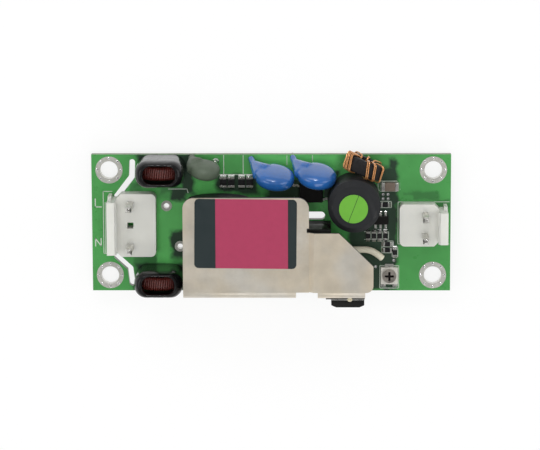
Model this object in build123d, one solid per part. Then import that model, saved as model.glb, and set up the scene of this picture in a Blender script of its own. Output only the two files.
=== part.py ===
from build123d import *
import math
import os

# Open frame mains power supply on one printed circuit board. Millimetres, +Z up.
# Origin: centre of the four mounting holes, on the underside of the board.
# +X runs from the mains header to the output header.

# Board
BOARD_LENGTH = 67.2
BOARD_WIDTH = 25.9
BOARD_THICKNESS = 1.6
HOLE_SPACING_X = 60.6
HOLE_SPACING_Y = 20.0
HOLE_DIAMETER = 3.4
TAIL_LENGTH = 1.8
CREEPAGE_SLOT_WIDTH = 1.1
NORTH_SLOT = [(-25.95, 11.5), (-26.05, 8.7), (-28.9, 5.0)]
SOUTH_SLOT = [(-29.0, -6.4), (-26.5, -8.7), (-26.15, -11.5)]
BARRIER_SLOT_WIDTH = 1.5
BARRIER_SLOT = [(-2.0, 1.35), (9.35, 1.35)]
OPEN_PAD_DIAMETER = 1.1
OPEN_PADS = [(-19.6, 3.2), (-17.1, -4.5)]

TOP = BOARD_THICKNESS
WEST_EDGE = -BOARD_LENGTH / 2
EAST_EDGE = BOARD_LENGTH / 2

# Headers with square pins and a friction wall
PIN_PITCH = 3.96
PIN_WIDTH = 1.14
PIN_HEIGHT = 9.2
PIN_POINT = 0.3
HEADER_BASE_HEIGHT = 3.4
HEADER_WALL_HEIGHT = 7.4
HEADER_WALL_THICKNESS = 1.45
HEADER_WALL_INSET = 1.0
HEADER_WALL_GUSSET = 1.6
HEADER_GUSSET_RADIUS = 2.6
HEADER_OUTER_REACH = 4.15
HEADER_INNER_REACH = 4.75
HEADER_RIDGE = 0.35
HEADER_RIDGE_TOP = 0.35
HEADER_RIDGE_CREST = 0.7
HEADER_RIDGE_FOOT = 1.4
HEADER_CORNER = 1.0
HEADER_WEB = 0.65
HEADER_WEB_INSET = 0.4
MAINS_POSITIONS = 3
MAINS_HEADER_INSET = 7.4
OUTPUT_POSITIONS = 2
OUTPUT_HEADER_INSET = 4.9
HEADER_Y = 0.05

# Sleeved line chokes, each a wound ring standing on edge
CHOKE_LENGTH = 9.2
CHOKE_DEPTH = 5.1
CHOKE_HEIGHT = 9.0
CHOKE_CORNER = 2.2
SHOULDER_RISE = 1.5
SHOULDER_TAPER = 25.0
SLEEVE_WALL = 0.35
SLEEVE_WINDOW_LENGTH = 5.6
SLEEVE_WINDOW_DEPTH = 3.0
CHOKE_RING_OUTER = 7.5
CHOKE_RING_INNER = 2.6
CHOKE_RING_DEPTH = 2.6
NORTH_CHOKE = (-20.5, 10.35)
SOUTH_CHOKE = (-20.85, -10.35)

# Dipped discs: each leans south on two leads, and its coating runs down the first lead to the board
LEAD_DIAMETER = 0.6
DISC_BEVEL = 0.36
THERMISTOR_DIAMETER = 5.7
THERMISTOR_THICKNESS = 3.0
THERMISTOR_CENTRE = (-12.2, 10.65, 4.2)
THERMISTOR_TURN = -8.0
THERMISTOR_LEAN = 16.0
THERMISTOR_FEET = [(-2.55, 1.75), (1.85, 0.95)]
THERMISTOR_ROOTS = [(-1.6, -0.5), (1.5, -1.0)]
THERMISTOR_BOOT = (0.42, 1.1)
SAFETY_CAP_DIAMETER = 7.4
SAFETY_CAP_THICKNESS = 3.4
SAFETY_CAP_TURN = -8.0
SAFETY_CAP_LEAN = 20.0
SAFETY_CAP_FEET = [(-4.55, 2.85), (3.0, -0.5)]
SAFETY_CAP_ROOTS = [(-2.2, -0.3), (2.2, -1.5)]
SAFETY_CAP_BOOT = (0.45, 1.45)
LEFT_CAP_CENTRE = (0.78, 9.4, 5.0)
RIGHT_CAP_CENTRE = (8.55, 9.65, 5.0)

# Ring choke of the output
RING_OUTER = 7.4
RING_INNER = 4.0
RING_DEPTH = 2.7
RING_CENTRE = (17.3, 11.35)
RING_TURN = -24.0
RING_WIRE = 0.45
RING_TURN_ANGLES = [-72.0, -59.0, -46.0, 9.0, 30.0, 62.0, 140.0, 180.0, 220.0]
RING_AIR = 0.03

# Round output capacitor
CAN_DIAMETER = 9.72
CAN_HEIGHT = 10.5
CAN_SHOULDER = 0.9
CAN_CENTRE = (15.42, 4.72)
STICKER_DIAMETER = 5.3
STICKER_THICKNESS = 0.08
STICKER_OFFSET = (-0.15, -0.3)

# Folded heat spreader
SHEET = 0.8
BEND_INSIDE = 0.4
MAIN_TOP = 13.0
MAIN_WEST = -16.0
MAIN_EAST = 7.1
MAIN_NORTH = 6.9
MAIN_SOUTH = -11.9
MAIN_CORNER = 2.0
MAIN_FOLD_EAST = 4.7
JOGGLE_RISE = 0.8
JOGGLE_RUN = 0.9
RELIEF_WIDTH = 0.4
RELIEF_LENGTH = 0.8
SIDE_NORTH = 0.45
SIDE_CHAMFER_START = 12.6
SIDE_EAST = 18.9
SIDE_CHAMFER_END = -5.7
SIDE_SOUTH = -11.8
SIDE_CORNER = 1.3
SIDE_FOLD_WEST = 8.7
SIDE_FOLD_EAST = 17.4
SIDE_FOLD_FOOT = 3.6
TAB_WIDTH = 2.0
TAB_PLACES = [-13.0, 1.8]
LABEL_LENGTH = 18.7
LABEL_WIDTH = 12.85
LABEL_CORNER = 0.8
LABEL_THICKNESS = 0.1
LABEL_CENTRE = (-4.5, 0.25)
LABEL_TURN = -0.6

# Rectifier on the outside of the fold
RECTIFIER_WEST = 11.2
RECTIFIER_EAST = 17.3
RECTIFIER_TOP = 10.6
RECTIFIER_FOOT = 4.4
RECTIFIER_DEPTH = 1.95
RECTIFIER_BEVEL = 0.9
RECTIFIER_BACKPLATE = 0.5
RECTIFIER_LEAD_WIDTH = 0.8
RECTIFIER_LEAD_THICKNESS = 0.5
RECTIFIER_LEAD_INSET = 0.75
RECTIFIER_LEAD_KNEE = 2.4
RECTIFIER_LEAD_ROW = -11.2
PAD_WEST = 10.2
PAD_EAST = 17.35
PAD_TOP = 12.1
PAD_THICKNESS = 0.35

# Transformer with upright legs
CORE_WIDTH = 16.0
CORE_DEPTH = 4.8
CORE_BACK = 2.1
CORE_SIDE_LEG = 2.1
CORE_CENTRE_LEG = 4.0
CORE_FOOT = 0.2
CORE_GLUE = 0.02
TRANSFORMER_CENTRE = (5.4, -5.1)
COIL_LENGTH = 11.5
COIL_DEPTH = 11.0
COIL_CORNER = 1.6
BOBBIN_FLANGE = 0.7
BOBBIN_TUBE = 0.8
BOBBIN_RAIL = 1.7
BOBBIN_AIR = 0.05
TRANSFORMER_PINS = 4
TRANSFORMER_PIN_PITCH = 2.5
TRANSFORMER_PIN_WIDTH = 0.6

# Bulk capacitor lying under the spreader
BULK_DIAMETER = 11.2
BULK_LENGTH = 15.0
BULK_CENTRE_X = -9.6
BULK_NORTH = 5.6
BULK_LEAD_PITCH = 5.0
BULK_LEAD_DIAMETER = 0.6
BULK_LEAD_ROW = -10.2

# Optocoupler
OPTO_LENGTH = 4.4
OPTO_WIDTH = 3.6
OPTO_HEIGHT = 2.1
OPTO_CENTRE = (7.5, 5.85)
OPTO_LEAD_PITCH = 2.54
GULL_WIDTH = 0.4
GULL_THICKNESS = 0.18
GULL_REACH = 0.95
GULL_SHOULDER_SHARE = 0.35
PACKAGE_DRAFT = 8.0
BODY_STAND_OFF = 0.12

# Surface mounted chips: width across, length between the end caps, height
CHIP_2012 = (1.25, 2.0, 0.6)
CHIP_1608 = (0.8, 1.6, 0.5)
CAP_SHARE = 0.2
PRIMARY_CHIPS = [-8.95, -7.45, -5.5, -4.0]
PRIMARY_CHIP_Y = 7.75
SECONDARY_UPRIGHT_CHIPS = [(18.15, -2.45), (19.25, -2.45), (20.3, -2.45), (21.4, -2.45), (23.2, -5.6)]
SECONDARY_LEVEL_CHIPS = [(21.8, -4.05), (21.8, -5.2), (21.35, 3.45)]
FILTER_CAPACITOR = (1.6, 3.2, 1.3)
FILTER_CAPACITOR_CENTRE = (22.2, 6.95)

# Regulator in a six lead package
REGULATOR_LENGTH = 2.9
REGULATOR_WIDTH = 1.6
REGULATOR_HEIGHT = 1.1
REGULATOR_CENTRE = (20.5, 0.55)
REGULATOR_LEAD_PITCH = 0.95
SMALL_GULL_REACH = 0.7

# Trimmer
TRIMMER_WIDTH = 3.2
TRIMMER_BASE_HEIGHT = 0.9
TRIMMER_CENTRE = (22.15, -10.0)
TRIMMER_BORE_RADIUS = 0.55
TRIMMER_RUNNING_FIT = 0.04
TRIMMER_RIVET_RADIUS = 0.95
TRIMMER_RIVET_RECESS = 0.42
TRIMMER_RIVET_THICKNESS = 0.26
TRIMMER_END_PLAY = 0.05
TRIMMER_DISC_RADIUS = 1.3
TRIMMER_DISC_HEIGHT = 0.5
TRIMMER_SLOT_WIDTH = 0.42
TRIMMER_SLOT_LENGTH = 1.7
TRIMMER_SLOT_DEPTH = 0.3
TRIMMER_TERMINAL_REACH = 0.55
TRIMMER_TERMINAL_HEIGHT = 0.35
TRIMMER_WIPER_WIDTH = 1.6
TRIMMER_END_GAP = 1.28

# Sleeved lead from the transformer to the output side
SLEEVED_LEAD_DIAMETER = 1.25
SLEEVED_LEAD_ROUTE = [(18.6, -5.0), (21.0, -6.8)]
SLEEVED_LEAD_BEND = 2.4

# Solder side parts
BRIDGE_CENTRE = (-13.5, 1.5)
BRIDGE_LENGTH = 4.7
BRIDGE_WIDTH = 4.0
BRIDGE_HEIGHT = 1.5
BRIDGE_LEAD_PITCH = 2.5
BRIDGE_LEAD_WIDTH = 0.6
CONTROLLER_CENTRE = (-4.5, -3.0)
CONTROLLER_LENGTH = 4.9
CONTROLLER_WIDTH = 3.9
CONTROLLER_HEIGHT = 1.4
CONTROLLER_LEAD_PITCH = 1.27
FUSE = (2.5, 6.1, 1.5)
FUSE_CENTRE = (-22.5, -1.5)


def block(x0, x1, y0, y1, z0, z1):
    """A box between two corners."""
    return Pos((x0 + x1) / 2, (y0 + y1) / 2, (z0 + z1) / 2) * Box(x1 - x0, y1 - y0, z1 - z0)


def turned_box(centre, size, turn=0.0):
    """A box standing on centre's height, turned about Z."""
    x, y, z = centre
    return Pos(x, y, z + size[2] / 2) * Rot(0, 0, turn) * Box(*size)


def milled_slot(points, width):
    """A round ended slot that follows straight runs through the board."""
    runs = []
    for (x0, y0), (x1, y1) in zip(points, points[1:]):
        turn = math.degrees(math.atan2(y1 - y0, x1 - x0))
        run = SlotCenterToCenter(math.hypot(x1 - x0, y1 - y0), width)
        runs.append(Pos((x0 + x1) / 2, (y0 + y1) / 2) * Rot(0, 0, turn) * run)
    outline = runs[0]
    for run in runs[1:]:
        outline += run
    return extrude(outline, BOARD_THICKNESS)


def row_places(count, pitch):
    """Evenly spaced places about zero."""
    return [(i - (count - 1) / 2) * pitch for i in range(count)]


def header_pin_rows():
    """Each header: its X and its pin places along Y. The mains header has only its outer pins."""
    mains = [HEADER_Y + y for y in row_places(MAINS_POSITIONS, PIN_PITCH)]
    output = [HEADER_Y + y for y in row_places(OUTPUT_POSITIONS, PIN_PITCH)]
    mains_x = WEST_EDGE + MAINS_HEADER_INSET
    output_x = EAST_EDGE - OUTPUT_HEADER_INSET
    return [(mains_x, [mains[0], mains[-1]]), (output_x, output)]


def transformer_pin_places():
    """Two rows of pins under the bobbin rails."""
    x, y = TRANSFORMER_CENTRE
    row = COIL_DEPTH / 2 - BOBBIN_RAIL / 2
    along = row_places(TRANSFORMER_PINS, TRANSFORMER_PIN_PITCH)
    return [(x + step, y + side * row) for side in (1, -1) for step in along]


def rectifier_lead_places():
    """The two outer leads of the rectifier, along X, each a little in from the body's end."""
    return [RECTIFIER_WEST + RECTIFIER_LEAD_INSET, RECTIFIER_EAST - RECTIFIER_LEAD_INSET]


def board_blank():
    return block(WEST_EDGE, EAST_EDGE, -BOARD_WIDTH / 2, BOARD_WIDTH / 2, 0, TOP)


def circuit_board():
    board = board_blank()
    for sx in (-1, 1):
        for sy in (-1, 1):
            place = Pos(sx * HOLE_SPACING_X / 2, sy * HOLE_SPACING_Y / 2, TOP / 2)
            board -= place * Cylinder(HOLE_DIAMETER / 2, TOP)
    for x, y in OPEN_PADS:
        board -= Pos(x, y, TOP / 2) * Cylinder(OPEN_PAD_DIAMETER / 2, TOP)
    board -= milled_slot(NORTH_SLOT, CREEPAGE_SLOT_WIDTH)
    board -= milled_slot(SOUTH_SLOT, CREEPAGE_SLOT_WIDTH)
    board -= milled_slot(BARRIER_SLOT, BARRIER_SLOT_WIDTH)
    for x, rows in header_pin_rows():
        for y in rows:
            board -= turned_box((x, y, 0), (PIN_WIDTH, PIN_WIDTH, TOP))
    for x, y in transformer_pin_places():
        board -= turned_box((x, y, 0), (TRANSFORMER_PIN_WIDTH, TRANSFORMER_PIN_WIDTH, TOP))
    for x in TAB_PLACES:
        board -= turned_box((x, MAIN_SOUTH + SHEET / 2, 0), (TAB_WIDTH, SHEET, TOP))
    for x in rectifier_lead_places():
        size = (RECTIFIER_LEAD_WIDTH, RECTIFIER_LEAD_THICKNESS, TOP)
        board -= turned_box((x, RECTIFIER_LEAD_ROW, 0), size)
    return board


def header_pins(x, rows):
    pins = []
    length = PIN_HEIGHT + BOARD_THICKNESS + TAIL_LENGTH
    for y in rows:
        pin = turned_box((x, y, -TAIL_LENGTH), (PIN_WIDTH, PIN_WIDTH, length))
        pin = chamfer(pin.edges().group_by(Axis.Z)[-1], PIN_POINT)
        pins.append(pin)
    return Compound(children=pins)


def header_base(half, wall_half):
    """The block that holds the pins: round away from the wall, its corners cut back beside it."""
    wall_face = HEADER_WALL_THICKNESS - HEADER_OUTER_REACH
    north = [
        (-HEADER_OUTER_REACH, wall_half),
        (wall_face, wall_half),
        (wall_face + half - wall_half, half),
        (HEADER_INNER_REACH, half),
    ]
    south = [(x, -y) for x, y in reversed(north)]
    base = extrude(make_face(Polyline(*north, *south, close=True)), HEADER_BASE_HEIGHT)
    return fillet(base.edges().filter_by(Axis.Z).group_by(Axis.X)[-1], HEADER_CORNER)


def header_web(half, wall_half):
    """A thin web along the wall's foot, with a curved gusset up to each end of the wall."""
    foot = half - HEADER_WEB_INSET
    gusset_z = HEADER_BASE_HEIGHT + HEADER_WALL_GUSSET
    with BuildSketch(Plane.YZ.offset(-HEADER_OUTER_REACH)) as profile:
        with BuildLine():
            Line((-foot, 0), (foot, 0))
            Line((foot, 0), (foot, HEADER_BASE_HEIGHT))
            RadiusArc((foot, HEADER_BASE_HEIGHT), (wall_half, gusset_z), HEADER_GUSSET_RADIUS)
            Line((wall_half, gusset_z), (-wall_half, gusset_z))
            RadiusArc((-wall_half, gusset_z), (-foot, HEADER_BASE_HEIGHT), HEADER_GUSSET_RADIUS)
            Line((-foot, HEADER_BASE_HEIGHT), (-foot, 0))
        make_face()
    return extrude(profile.sketch, HEADER_WEB)


def header_housing(positions):
    """A moulded header about its own pin row, with the friction wall towards -X."""
    half = positions * PIN_PITCH / 2
    wall_half = half - HEADER_WALL_INSET
    inner = HEADER_WALL_THICKNESS - HEADER_OUTER_REACH
    wall = block(-HEADER_OUTER_REACH, inner, -wall_half, wall_half, 0, HEADER_WALL_HEIGHT)
    ridge = Polyline(
        (inner, HEADER_WALL_HEIGHT - HEADER_RIDGE_FOOT),
        (inner + HEADER_RIDGE, HEADER_WALL_HEIGHT - HEADER_RIDGE_CREST),
        (inner, HEADER_WALL_HEIGHT - HEADER_RIDGE_TOP),
        close=True,
    )
    ridge_face = make_face(Plane.XZ * ridge)
    housing = header_base(half, wall_half) + wall + header_web(half, wall_half)
    housing += extrude(ridge_face, wall_half, both=True)
    for y in row_places(positions, PIN_PITCH):
        housing -= turned_box((0, y, 0), (PIN_WIDTH, PIN_WIDTH, HEADER_BASE_HEIGHT))
    return housing


def mains_header_housing():
    return Pos(WEST_EDGE + MAINS_HEADER_INSET, HEADER_Y, TOP) * header_housing(MAINS_POSITIONS)


def output_header_housing():
    turned = Rot(0, 0, 180) * header_housing(OUTPUT_POSITIONS)
    return Pos(EAST_EDGE - OUTPUT_HEADER_INSET, HEADER_Y, TOP) * turned


def choke_sleeve(place):
    """A shrunk tube whose top edge closes in over the winding."""
    outer = extrude(RectangleRounded(CHOKE_LENGTH, CHOKE_DEPTH, CHOKE_CORNER), CHOKE_HEIGHT - SHOULDER_RISE)
    shoulder = extrude(outer.faces().sort_by(Axis.Z)[-1], SHOULDER_RISE, taper=SHOULDER_TAPER)
    inner_outline = RectangleRounded(
        CHOKE_LENGTH - 2 * SLEEVE_WALL, CHOKE_DEPTH - 2 * SLEEVE_WALL, CHOKE_CORNER - SLEEVE_WALL
    )
    inner = extrude(inner_outline, CHOKE_HEIGHT - SHOULDER_RISE)
    window = extrude(SlotOverall(SLEEVE_WINDOW_LENGTH, SLEEVE_WINDOW_DEPTH), CHOKE_HEIGHT)
    return Pos(*place, TOP) * (outer + shoulder - inner - window)


def choke_winding(place):
    """A wound ring standing on edge on the board, its core covered by the wire."""
    ring = Cylinder(CHOKE_RING_OUTER / 2, CHOKE_RING_DEPTH) - Cylinder(CHOKE_RING_INNER / 2, CHOKE_RING_DEPTH)
    return Pos(place[0], place[1], TOP + CHOKE_RING_OUTER / 2) * Rot(90, 0, 0) * ring


def leaning_plane(centre, turn, lean):
    """A plane on a disc's middle: X along the disc, Z out of its face, leaning south."""
    turned = math.radians(turn)
    along = Vector(math.cos(turned), math.sin(turned), 0)
    level_face = Vector(math.sin(turned), -math.cos(turned), 0)
    leaned = math.radians(lean)
    face = level_face * math.cos(leaned) - Vector(0, 0, 1) * math.sin(leaned)
    x, y, z = centre
    return Plane(origin=(x, y, TOP + z), x_dir=along, z_dir=face)


def dipped_disc(diameter, thickness):
    """A coated disc with its rims bevelled off."""
    disc = Cylinder(diameter / 2, thickness)
    return chamfer(disc.edges().filter_by(GeomType.CIRCLE), thickness * DISC_BEVEL)


def wire(start, end, diameter):
    """A straight round wire between two points."""
    path = Line(start, end)
    return sweep(path.location_at(0) * Circle(diameter / 2), path)


def above_board(solid):
    """What of a solid stands on the board's top."""
    room = block(WEST_EDGE, EAST_EDGE, -BOARD_WIDTH / 2, BOARD_WIDTH / 2, TOP, TOP + MAIN_TOP)
    return solid & room


def disc_legs(plane, centre, feet, roots):
    """Each lead of a disc as its foot on the board and its root inside the disc."""
    legs = []
    for (foot_x, foot_y), root in zip(feet, roots):
        foot = Vector(centre[0] + foot_x, centre[1] + foot_y, TOP)
        legs.append((foot, plane.from_local_coords(Vector(*root, 0))))
    return legs


def coated_leg(leg, boot):
    """The coating on a lead, from the board to the disc; boot is its radius at each end."""
    foot, root = leg
    run = root - foot
    start = foot - run.normalized() * boot[0]
    height = (root - start).length
    cone = Pos(0, 0, height / 2) * Cone(*boot, height)
    return above_board(Plane(origin=start, z_dir=run) * cone)


def bare_leg(leg, body):
    """A bare lead from the board's face to the coating."""
    foot, root = leg
    start = foot - (root - foot).normalized() * LEAD_DIAMETER
    lead = above_board(wire(start, root, LEAD_DIAMETER)) - body
    return lead.solids().sort_by(Axis.Z)[0]


def thermistor_plane():
    return leaning_plane(THERMISTOR_CENTRE, THERMISTOR_TURN, THERMISTOR_LEAN)


def thermistor_legs():
    return disc_legs(thermistor_plane(), THERMISTOR_CENTRE, THERMISTOR_FEET, THERMISTOR_ROOTS)


def inrush_thermistor():
    disc = thermistor_plane() * dipped_disc(THERMISTOR_DIAMETER, THERMISTOR_THICKNESS)
    return disc + coated_leg(thermistor_legs()[0], THERMISTOR_BOOT)


def inrush_thermistor_leads():
    return bare_leg(thermistor_legs()[1], inrush_thermistor())


def safety_cap_plane(centre):
    return leaning_plane(centre, SAFETY_CAP_TURN, SAFETY_CAP_LEAN)


def safety_cap_legs(centre):
    return disc_legs(safety_cap_plane(centre), centre, SAFETY_CAP_FEET, SAFETY_CAP_ROOTS)


def safety_capacitor(centre):
    disc = safety_cap_plane(centre) * dipped_disc(SAFETY_CAP_DIAMETER, SAFETY_CAP_THICKNESS)
    return disc + coated_leg(safety_cap_legs(centre)[0], SAFETY_CAP_BOOT)


def safety_capacitor_leads(centre):
    return bare_leg(safety_cap_legs(centre)[1], safety_capacitor(centre))


def ring_place():
    height = TOP + RING_OUTER / 2 + RING_WIRE + RING_AIR
    return Pos(RING_CENTRE[0], RING_CENTRE[1], height) * Rot(0, 0, RING_TURN) * Rot(90, 0, 0)


def ring_choke_core():
    return ring_place() * (Cylinder(RING_OUTER / 2, RING_DEPTH) - Cylinder(RING_INNER / 2, RING_DEPTH))


def ring_choke_winding():
    """Square turns about the ring's section, each a closed loop."""
    breadth = (RING_OUTER - RING_INNER) / 2 + 2 * RING_AIR
    depth = RING_DEPTH + 2 * RING_AIR
    loop = Box(breadth + 2 * RING_WIRE, RING_WIRE, depth + 2 * RING_WIRE)
    loop -= Box(breadth, RING_WIRE, depth)
    middle = (RING_OUTER + RING_INNER) / 4
    loop = Pos(middle, 0, 0) * loop
    turns = [ring_place() * Rot(0, 0, 90 - angle) * loop for angle in RING_TURN_ANGLES]
    return Compound(children=turns)


def output_capacitor():
    can = Pos(0, 0, CAN_HEIGHT / 2) * Cylinder(CAN_DIAMETER / 2, CAN_HEIGHT)
    can = chamfer(can.edges().group_by(Axis.Z)[-1], CAN_SHOULDER)
    return Pos(*CAN_CENTRE, TOP) * can


def output_capacitor_sticker():
    x = CAN_CENTRE[0] + STICKER_OFFSET[0]
    y = CAN_CENTRE[1] + STICKER_OFFSET[1]
    z = TOP + CAN_HEIGHT + STICKER_THICKNESS / 2
    return Pos(x, y, z) * Cylinder(STICKER_DIAMETER / 2, STICKER_THICKNESS)


def fold(west, east, south, top, foot):
    """A downward fold along the south edge: the bend and the wall below it."""
    outside = BEND_INSIDE + SHEET
    with BuildSketch(Plane.YZ.offset(west)) as section:
        with BuildLine():
            Line((south + outside, top), (south + outside, top - SHEET))
            RadiusArc((south + outside, top - SHEET), (south + SHEET, top - outside), -BEND_INSIDE)
            Line((south + SHEET, top - outside), (south + SHEET, foot))
            Line((south + SHEET, foot), (south, foot))
            Line((south, foot), (south, top - outside))
            RadiusArc((south, top - outside), (south + outside, top), outside)
        make_face()
    return extrude(section.sketch, east - west)


def heat_spreader():
    """One tinned sheet: top plate, stepped side plate and two downward folds."""
    main_top = TOP + MAIN_TOP
    side_top = main_top + JOGGLE_RISE
    outside = BEND_INSIDE + SHEET
    main_edge = MAIN_SOUTH + outside
    side_edge = SIDE_SOUTH + outside
    side_west = MAIN_EAST + JOGGLE_RUN
    main = block(MAIN_WEST, MAIN_EAST, main_edge, MAIN_NORTH, main_top - SHEET, main_top)
    main = fillet(main.edges().filter_by(Axis.Z).group_by(Axis.Y)[-1], MAIN_CORNER)
    relief_north = SIDE_NORTH + RELIEF_LENGTH
    main -= block(MAIN_EAST - RELIEF_WIDTH, MAIN_EAST, SIDE_NORTH, relief_north, main_top - SHEET, main_top)
    side_outline = Polyline(
        (side_west, side_edge),
        (side_west, SIDE_NORTH),
        (SIDE_CHAMFER_START, SIDE_NORTH),
        (SIDE_EAST, SIDE_CHAMFER_END),
        (SIDE_EAST, side_edge),
        close=True,
    )
    side = Pos(0, 0, side_top - SHEET) * extrude(make_face(side_outline), SHEET)
    south_edges = side.edges().filter_by(Axis.Z).group_by(Axis.Y)[0]
    side = fillet(south_edges.sort_by(Axis.X)[-1], SIDE_CORNER)
    step = Polyline(
        (MAIN_EAST, SIDE_NORTH, main_top),
        (side_west, SIDE_NORTH, side_top),
        (side_west, SIDE_NORTH, side_top - SHEET),
        (MAIN_EAST, SIDE_NORTH, main_top - SHEET),
        close=True,
    )
    joggle = extrude(make_face(step), SIDE_NORTH - side_edge, dir=(0, -1, 0))
    sheet = main + side + joggle
    sheet += fold(MAIN_WEST, MAIN_FOLD_EAST, MAIN_SOUTH, main_top, TOP)
    sheet += fold(SIDE_FOLD_WEST, SIDE_FOLD_EAST, SIDE_SOUTH, side_top, TOP + SIDE_FOLD_FOOT)
    for x in TAB_PLACES:
        length = BOARD_THICKNESS + TAIL_LENGTH
        sheet += turned_box((x, MAIN_SOUTH + SHEET / 2, -TAIL_LENGTH), (TAB_WIDTH, SHEET, length))
    return sheet


def spreader_label():
    label = extrude(RectangleRounded(LABEL_LENGTH, LABEL_WIDTH, LABEL_CORNER), LABEL_THICKNESS)
    return Pos(*LABEL_CENTRE, TOP + MAIN_TOP) * Rot(0, 0, LABEL_TURN) * label


def rectifier_back():
    """The south face of the insulating pad, which the rectifier lies against."""
    return SIDE_SOUTH - PAD_THICKNESS


def rectifier_pad():
    return block(PAD_WEST, PAD_EAST, rectifier_back(), SIDE_SOUTH, TOP + SIDE_FOLD_FOOT, TOP + PAD_TOP)


def rectifier_backplate():
    back = rectifier_back()
    front = back - RECTIFIER_BACKPLATE
    return block(RECTIFIER_WEST, RECTIFIER_EAST, front, back, TOP + RECTIFIER_FOOT, TOP + RECTIFIER_TOP)


def rectifier_body():
    front = rectifier_back() - RECTIFIER_DEPTH
    back = rectifier_back() - RECTIFIER_BACKPLATE
    body = block(RECTIFIER_WEST, RECTIFIER_EAST, front, back, TOP + RECTIFIER_FOOT, TOP + RECTIFIER_TOP)
    return chamfer(body.faces().sort_by(Axis.Y)[0].edges(), RECTIFIER_BEVEL / 2, RECTIFIER_BEVEL)


def rectifier_leads():
    """The metal back plate and two flat leads that bend in under the fold."""
    half = RECTIFIER_LEAD_THICKNESS / 2
    out = rectifier_back() - RECTIFIER_BACKPLATE / 2 - half
    row = RECTIFIER_LEAD_ROW
    knee = TOP + RECTIFIER_LEAD_KNEE
    leads = rectifier_backplate()
    for x in rectifier_lead_places():
        x0 = x - RECTIFIER_LEAD_WIDTH / 2
        x1 = x + RECTIFIER_LEAD_WIDTH / 2
        leads += block(x0, x1, out, out + 2 * half, knee, TOP + RECTIFIER_FOOT)
        leads += block(x0, x1, out, row + half, knee, knee + 2 * half)
        leads += block(x0, x1, row - half, row + half, -TAIL_LENGTH, knee + 2 * half)
    return leads


def core_height():
    """The core fills the room between its feet and the underside of the spreader."""
    return MAIN_TOP - SHEET - CORE_FOOT


def core_half():
    """An E shape with its legs up, half the core's height."""
    height = core_height() / 2 - CORE_GLUE / 2
    half = CORE_WIDTH / 2
    core = block(-half, half, -CORE_DEPTH / 2, CORE_DEPTH / 2, 0, height)
    leg = CORE_CENTRE_LEG / 2
    for side in (-1, 1):
        inner, outer = sorted((side * leg, side * (half - CORE_SIDE_LEG)))
        core -= block(inner, outer, -CORE_DEPTH / 2, CORE_DEPTH / 2, CORE_BACK, height)
    return core


def transformer_core_lower():
    return Pos(*TRANSFORMER_CENTRE, TOP + CORE_FOOT) * core_half()


def transformer_core_upper():
    return Pos(*TRANSFORMER_CENTRE, TOP + CORE_FOOT + core_height()) * Rot(180, 0, 0) * core_half()


def coil_floor():
    return CORE_FOOT + CORE_BACK + BOBBIN_AIR


def coil_ceiling():
    return CORE_FOOT + core_height() - CORE_BACK - BOBBIN_AIR


def transformer_bobbin():
    """Two flanges on a square tube, with a pin rail under each long side."""
    low = coil_floor()
    high = coil_ceiling()
    half_x = COIL_LENGTH / 2
    half_y = COIL_DEPTH / 2
    hole_x = CORE_CENTRE_LEG / 2 + BOBBIN_AIR
    hole_y = CORE_DEPTH / 2 + BOBBIN_AIR
    bobbin = block(-half_x, half_x, -half_y, half_y, low, low + BOBBIN_FLANGE)
    bobbin += block(-half_x, half_x, -half_y, half_y, high - BOBBIN_FLANGE, high)
    tube_x = hole_x + BOBBIN_TUBE
    tube_y = hole_y + BOBBIN_TUBE
    bobbin += block(-tube_x, tube_x, -tube_y, tube_y, low, high)
    bobbin -= block(-hole_x, hole_x, -hole_y, hole_y, low, high)
    for side in (1, -1):
        y0, y1 = sorted((side * half_y, side * (half_y - BOBBIN_RAIL)))
        bobbin += block(-half_x, half_x, y0, y1, 0, low)
    bobbin = Pos(*TRANSFORMER_CENTRE, TOP) * bobbin
    for x, y in transformer_pin_places():
        bobbin -= turned_box((x, y, TOP), (TRANSFORMER_PIN_WIDTH, TRANSFORMER_PIN_WIDTH, low))
    return bobbin


def transformer_coil():
    """The taped windings between the flanges."""
    low = coil_floor() + BOBBIN_FLANGE
    height = coil_ceiling() - BOBBIN_FLANGE - low
    tube_x = CORE_CENTRE_LEG + 2 * (BOBBIN_AIR + BOBBIN_TUBE)
    tube_y = CORE_DEPTH + 2 * (BOBBIN_AIR + BOBBIN_TUBE)
    coil = extrude(RectangleRounded(COIL_LENGTH, COIL_DEPTH, COIL_CORNER), height)
    coil -= Pos(0, 0, height / 2) * Box(tube_x, tube_y, height)
    return Pos(*TRANSFORMER_CENTRE, TOP + low) * coil


def transformer_pins():
    length = TAIL_LENGTH + BOARD_THICKNESS + coil_floor()
    size = (TRANSFORMER_PIN_WIDTH, TRANSFORMER_PIN_WIDTH, length)
    return Compound(children=[turned_box((x, y, -TAIL_LENGTH), size) for x, y in transformer_pin_places()])


def bulk_capacitor():
    place = Pos(BULK_CENTRE_X, BULK_NORTH - BULK_LENGTH / 2, TOP + BULK_DIAMETER / 2)
    return place * Rot(90, 0, 0) * Cylinder(BULK_DIAMETER / 2, BULK_LENGTH)


def bulk_capacitor_leads():
    """Two leads out of the south end, bent down to the board."""
    south = BULK_NORTH - BULK_LENGTH
    z = TOP + BULK_DIAMETER / 2
    leads = []
    for side in (-1, 1):
        x = BULK_CENTRE_X + side * BULK_LEAD_PITCH / 2
        path = Polyline((x, south, z), (x, BULK_LEAD_ROW, z), (x, BULK_LEAD_ROW, TOP))
        section = Plane(origin=(x, south, z), z_dir=(0, -1, 0)) * RegularPolygon(BULK_LEAD_DIAMETER / 2, 8)
        leads.append(sweep(section, path, transition=Transition.RIGHT))
    return Compound(children=leads)


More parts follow.
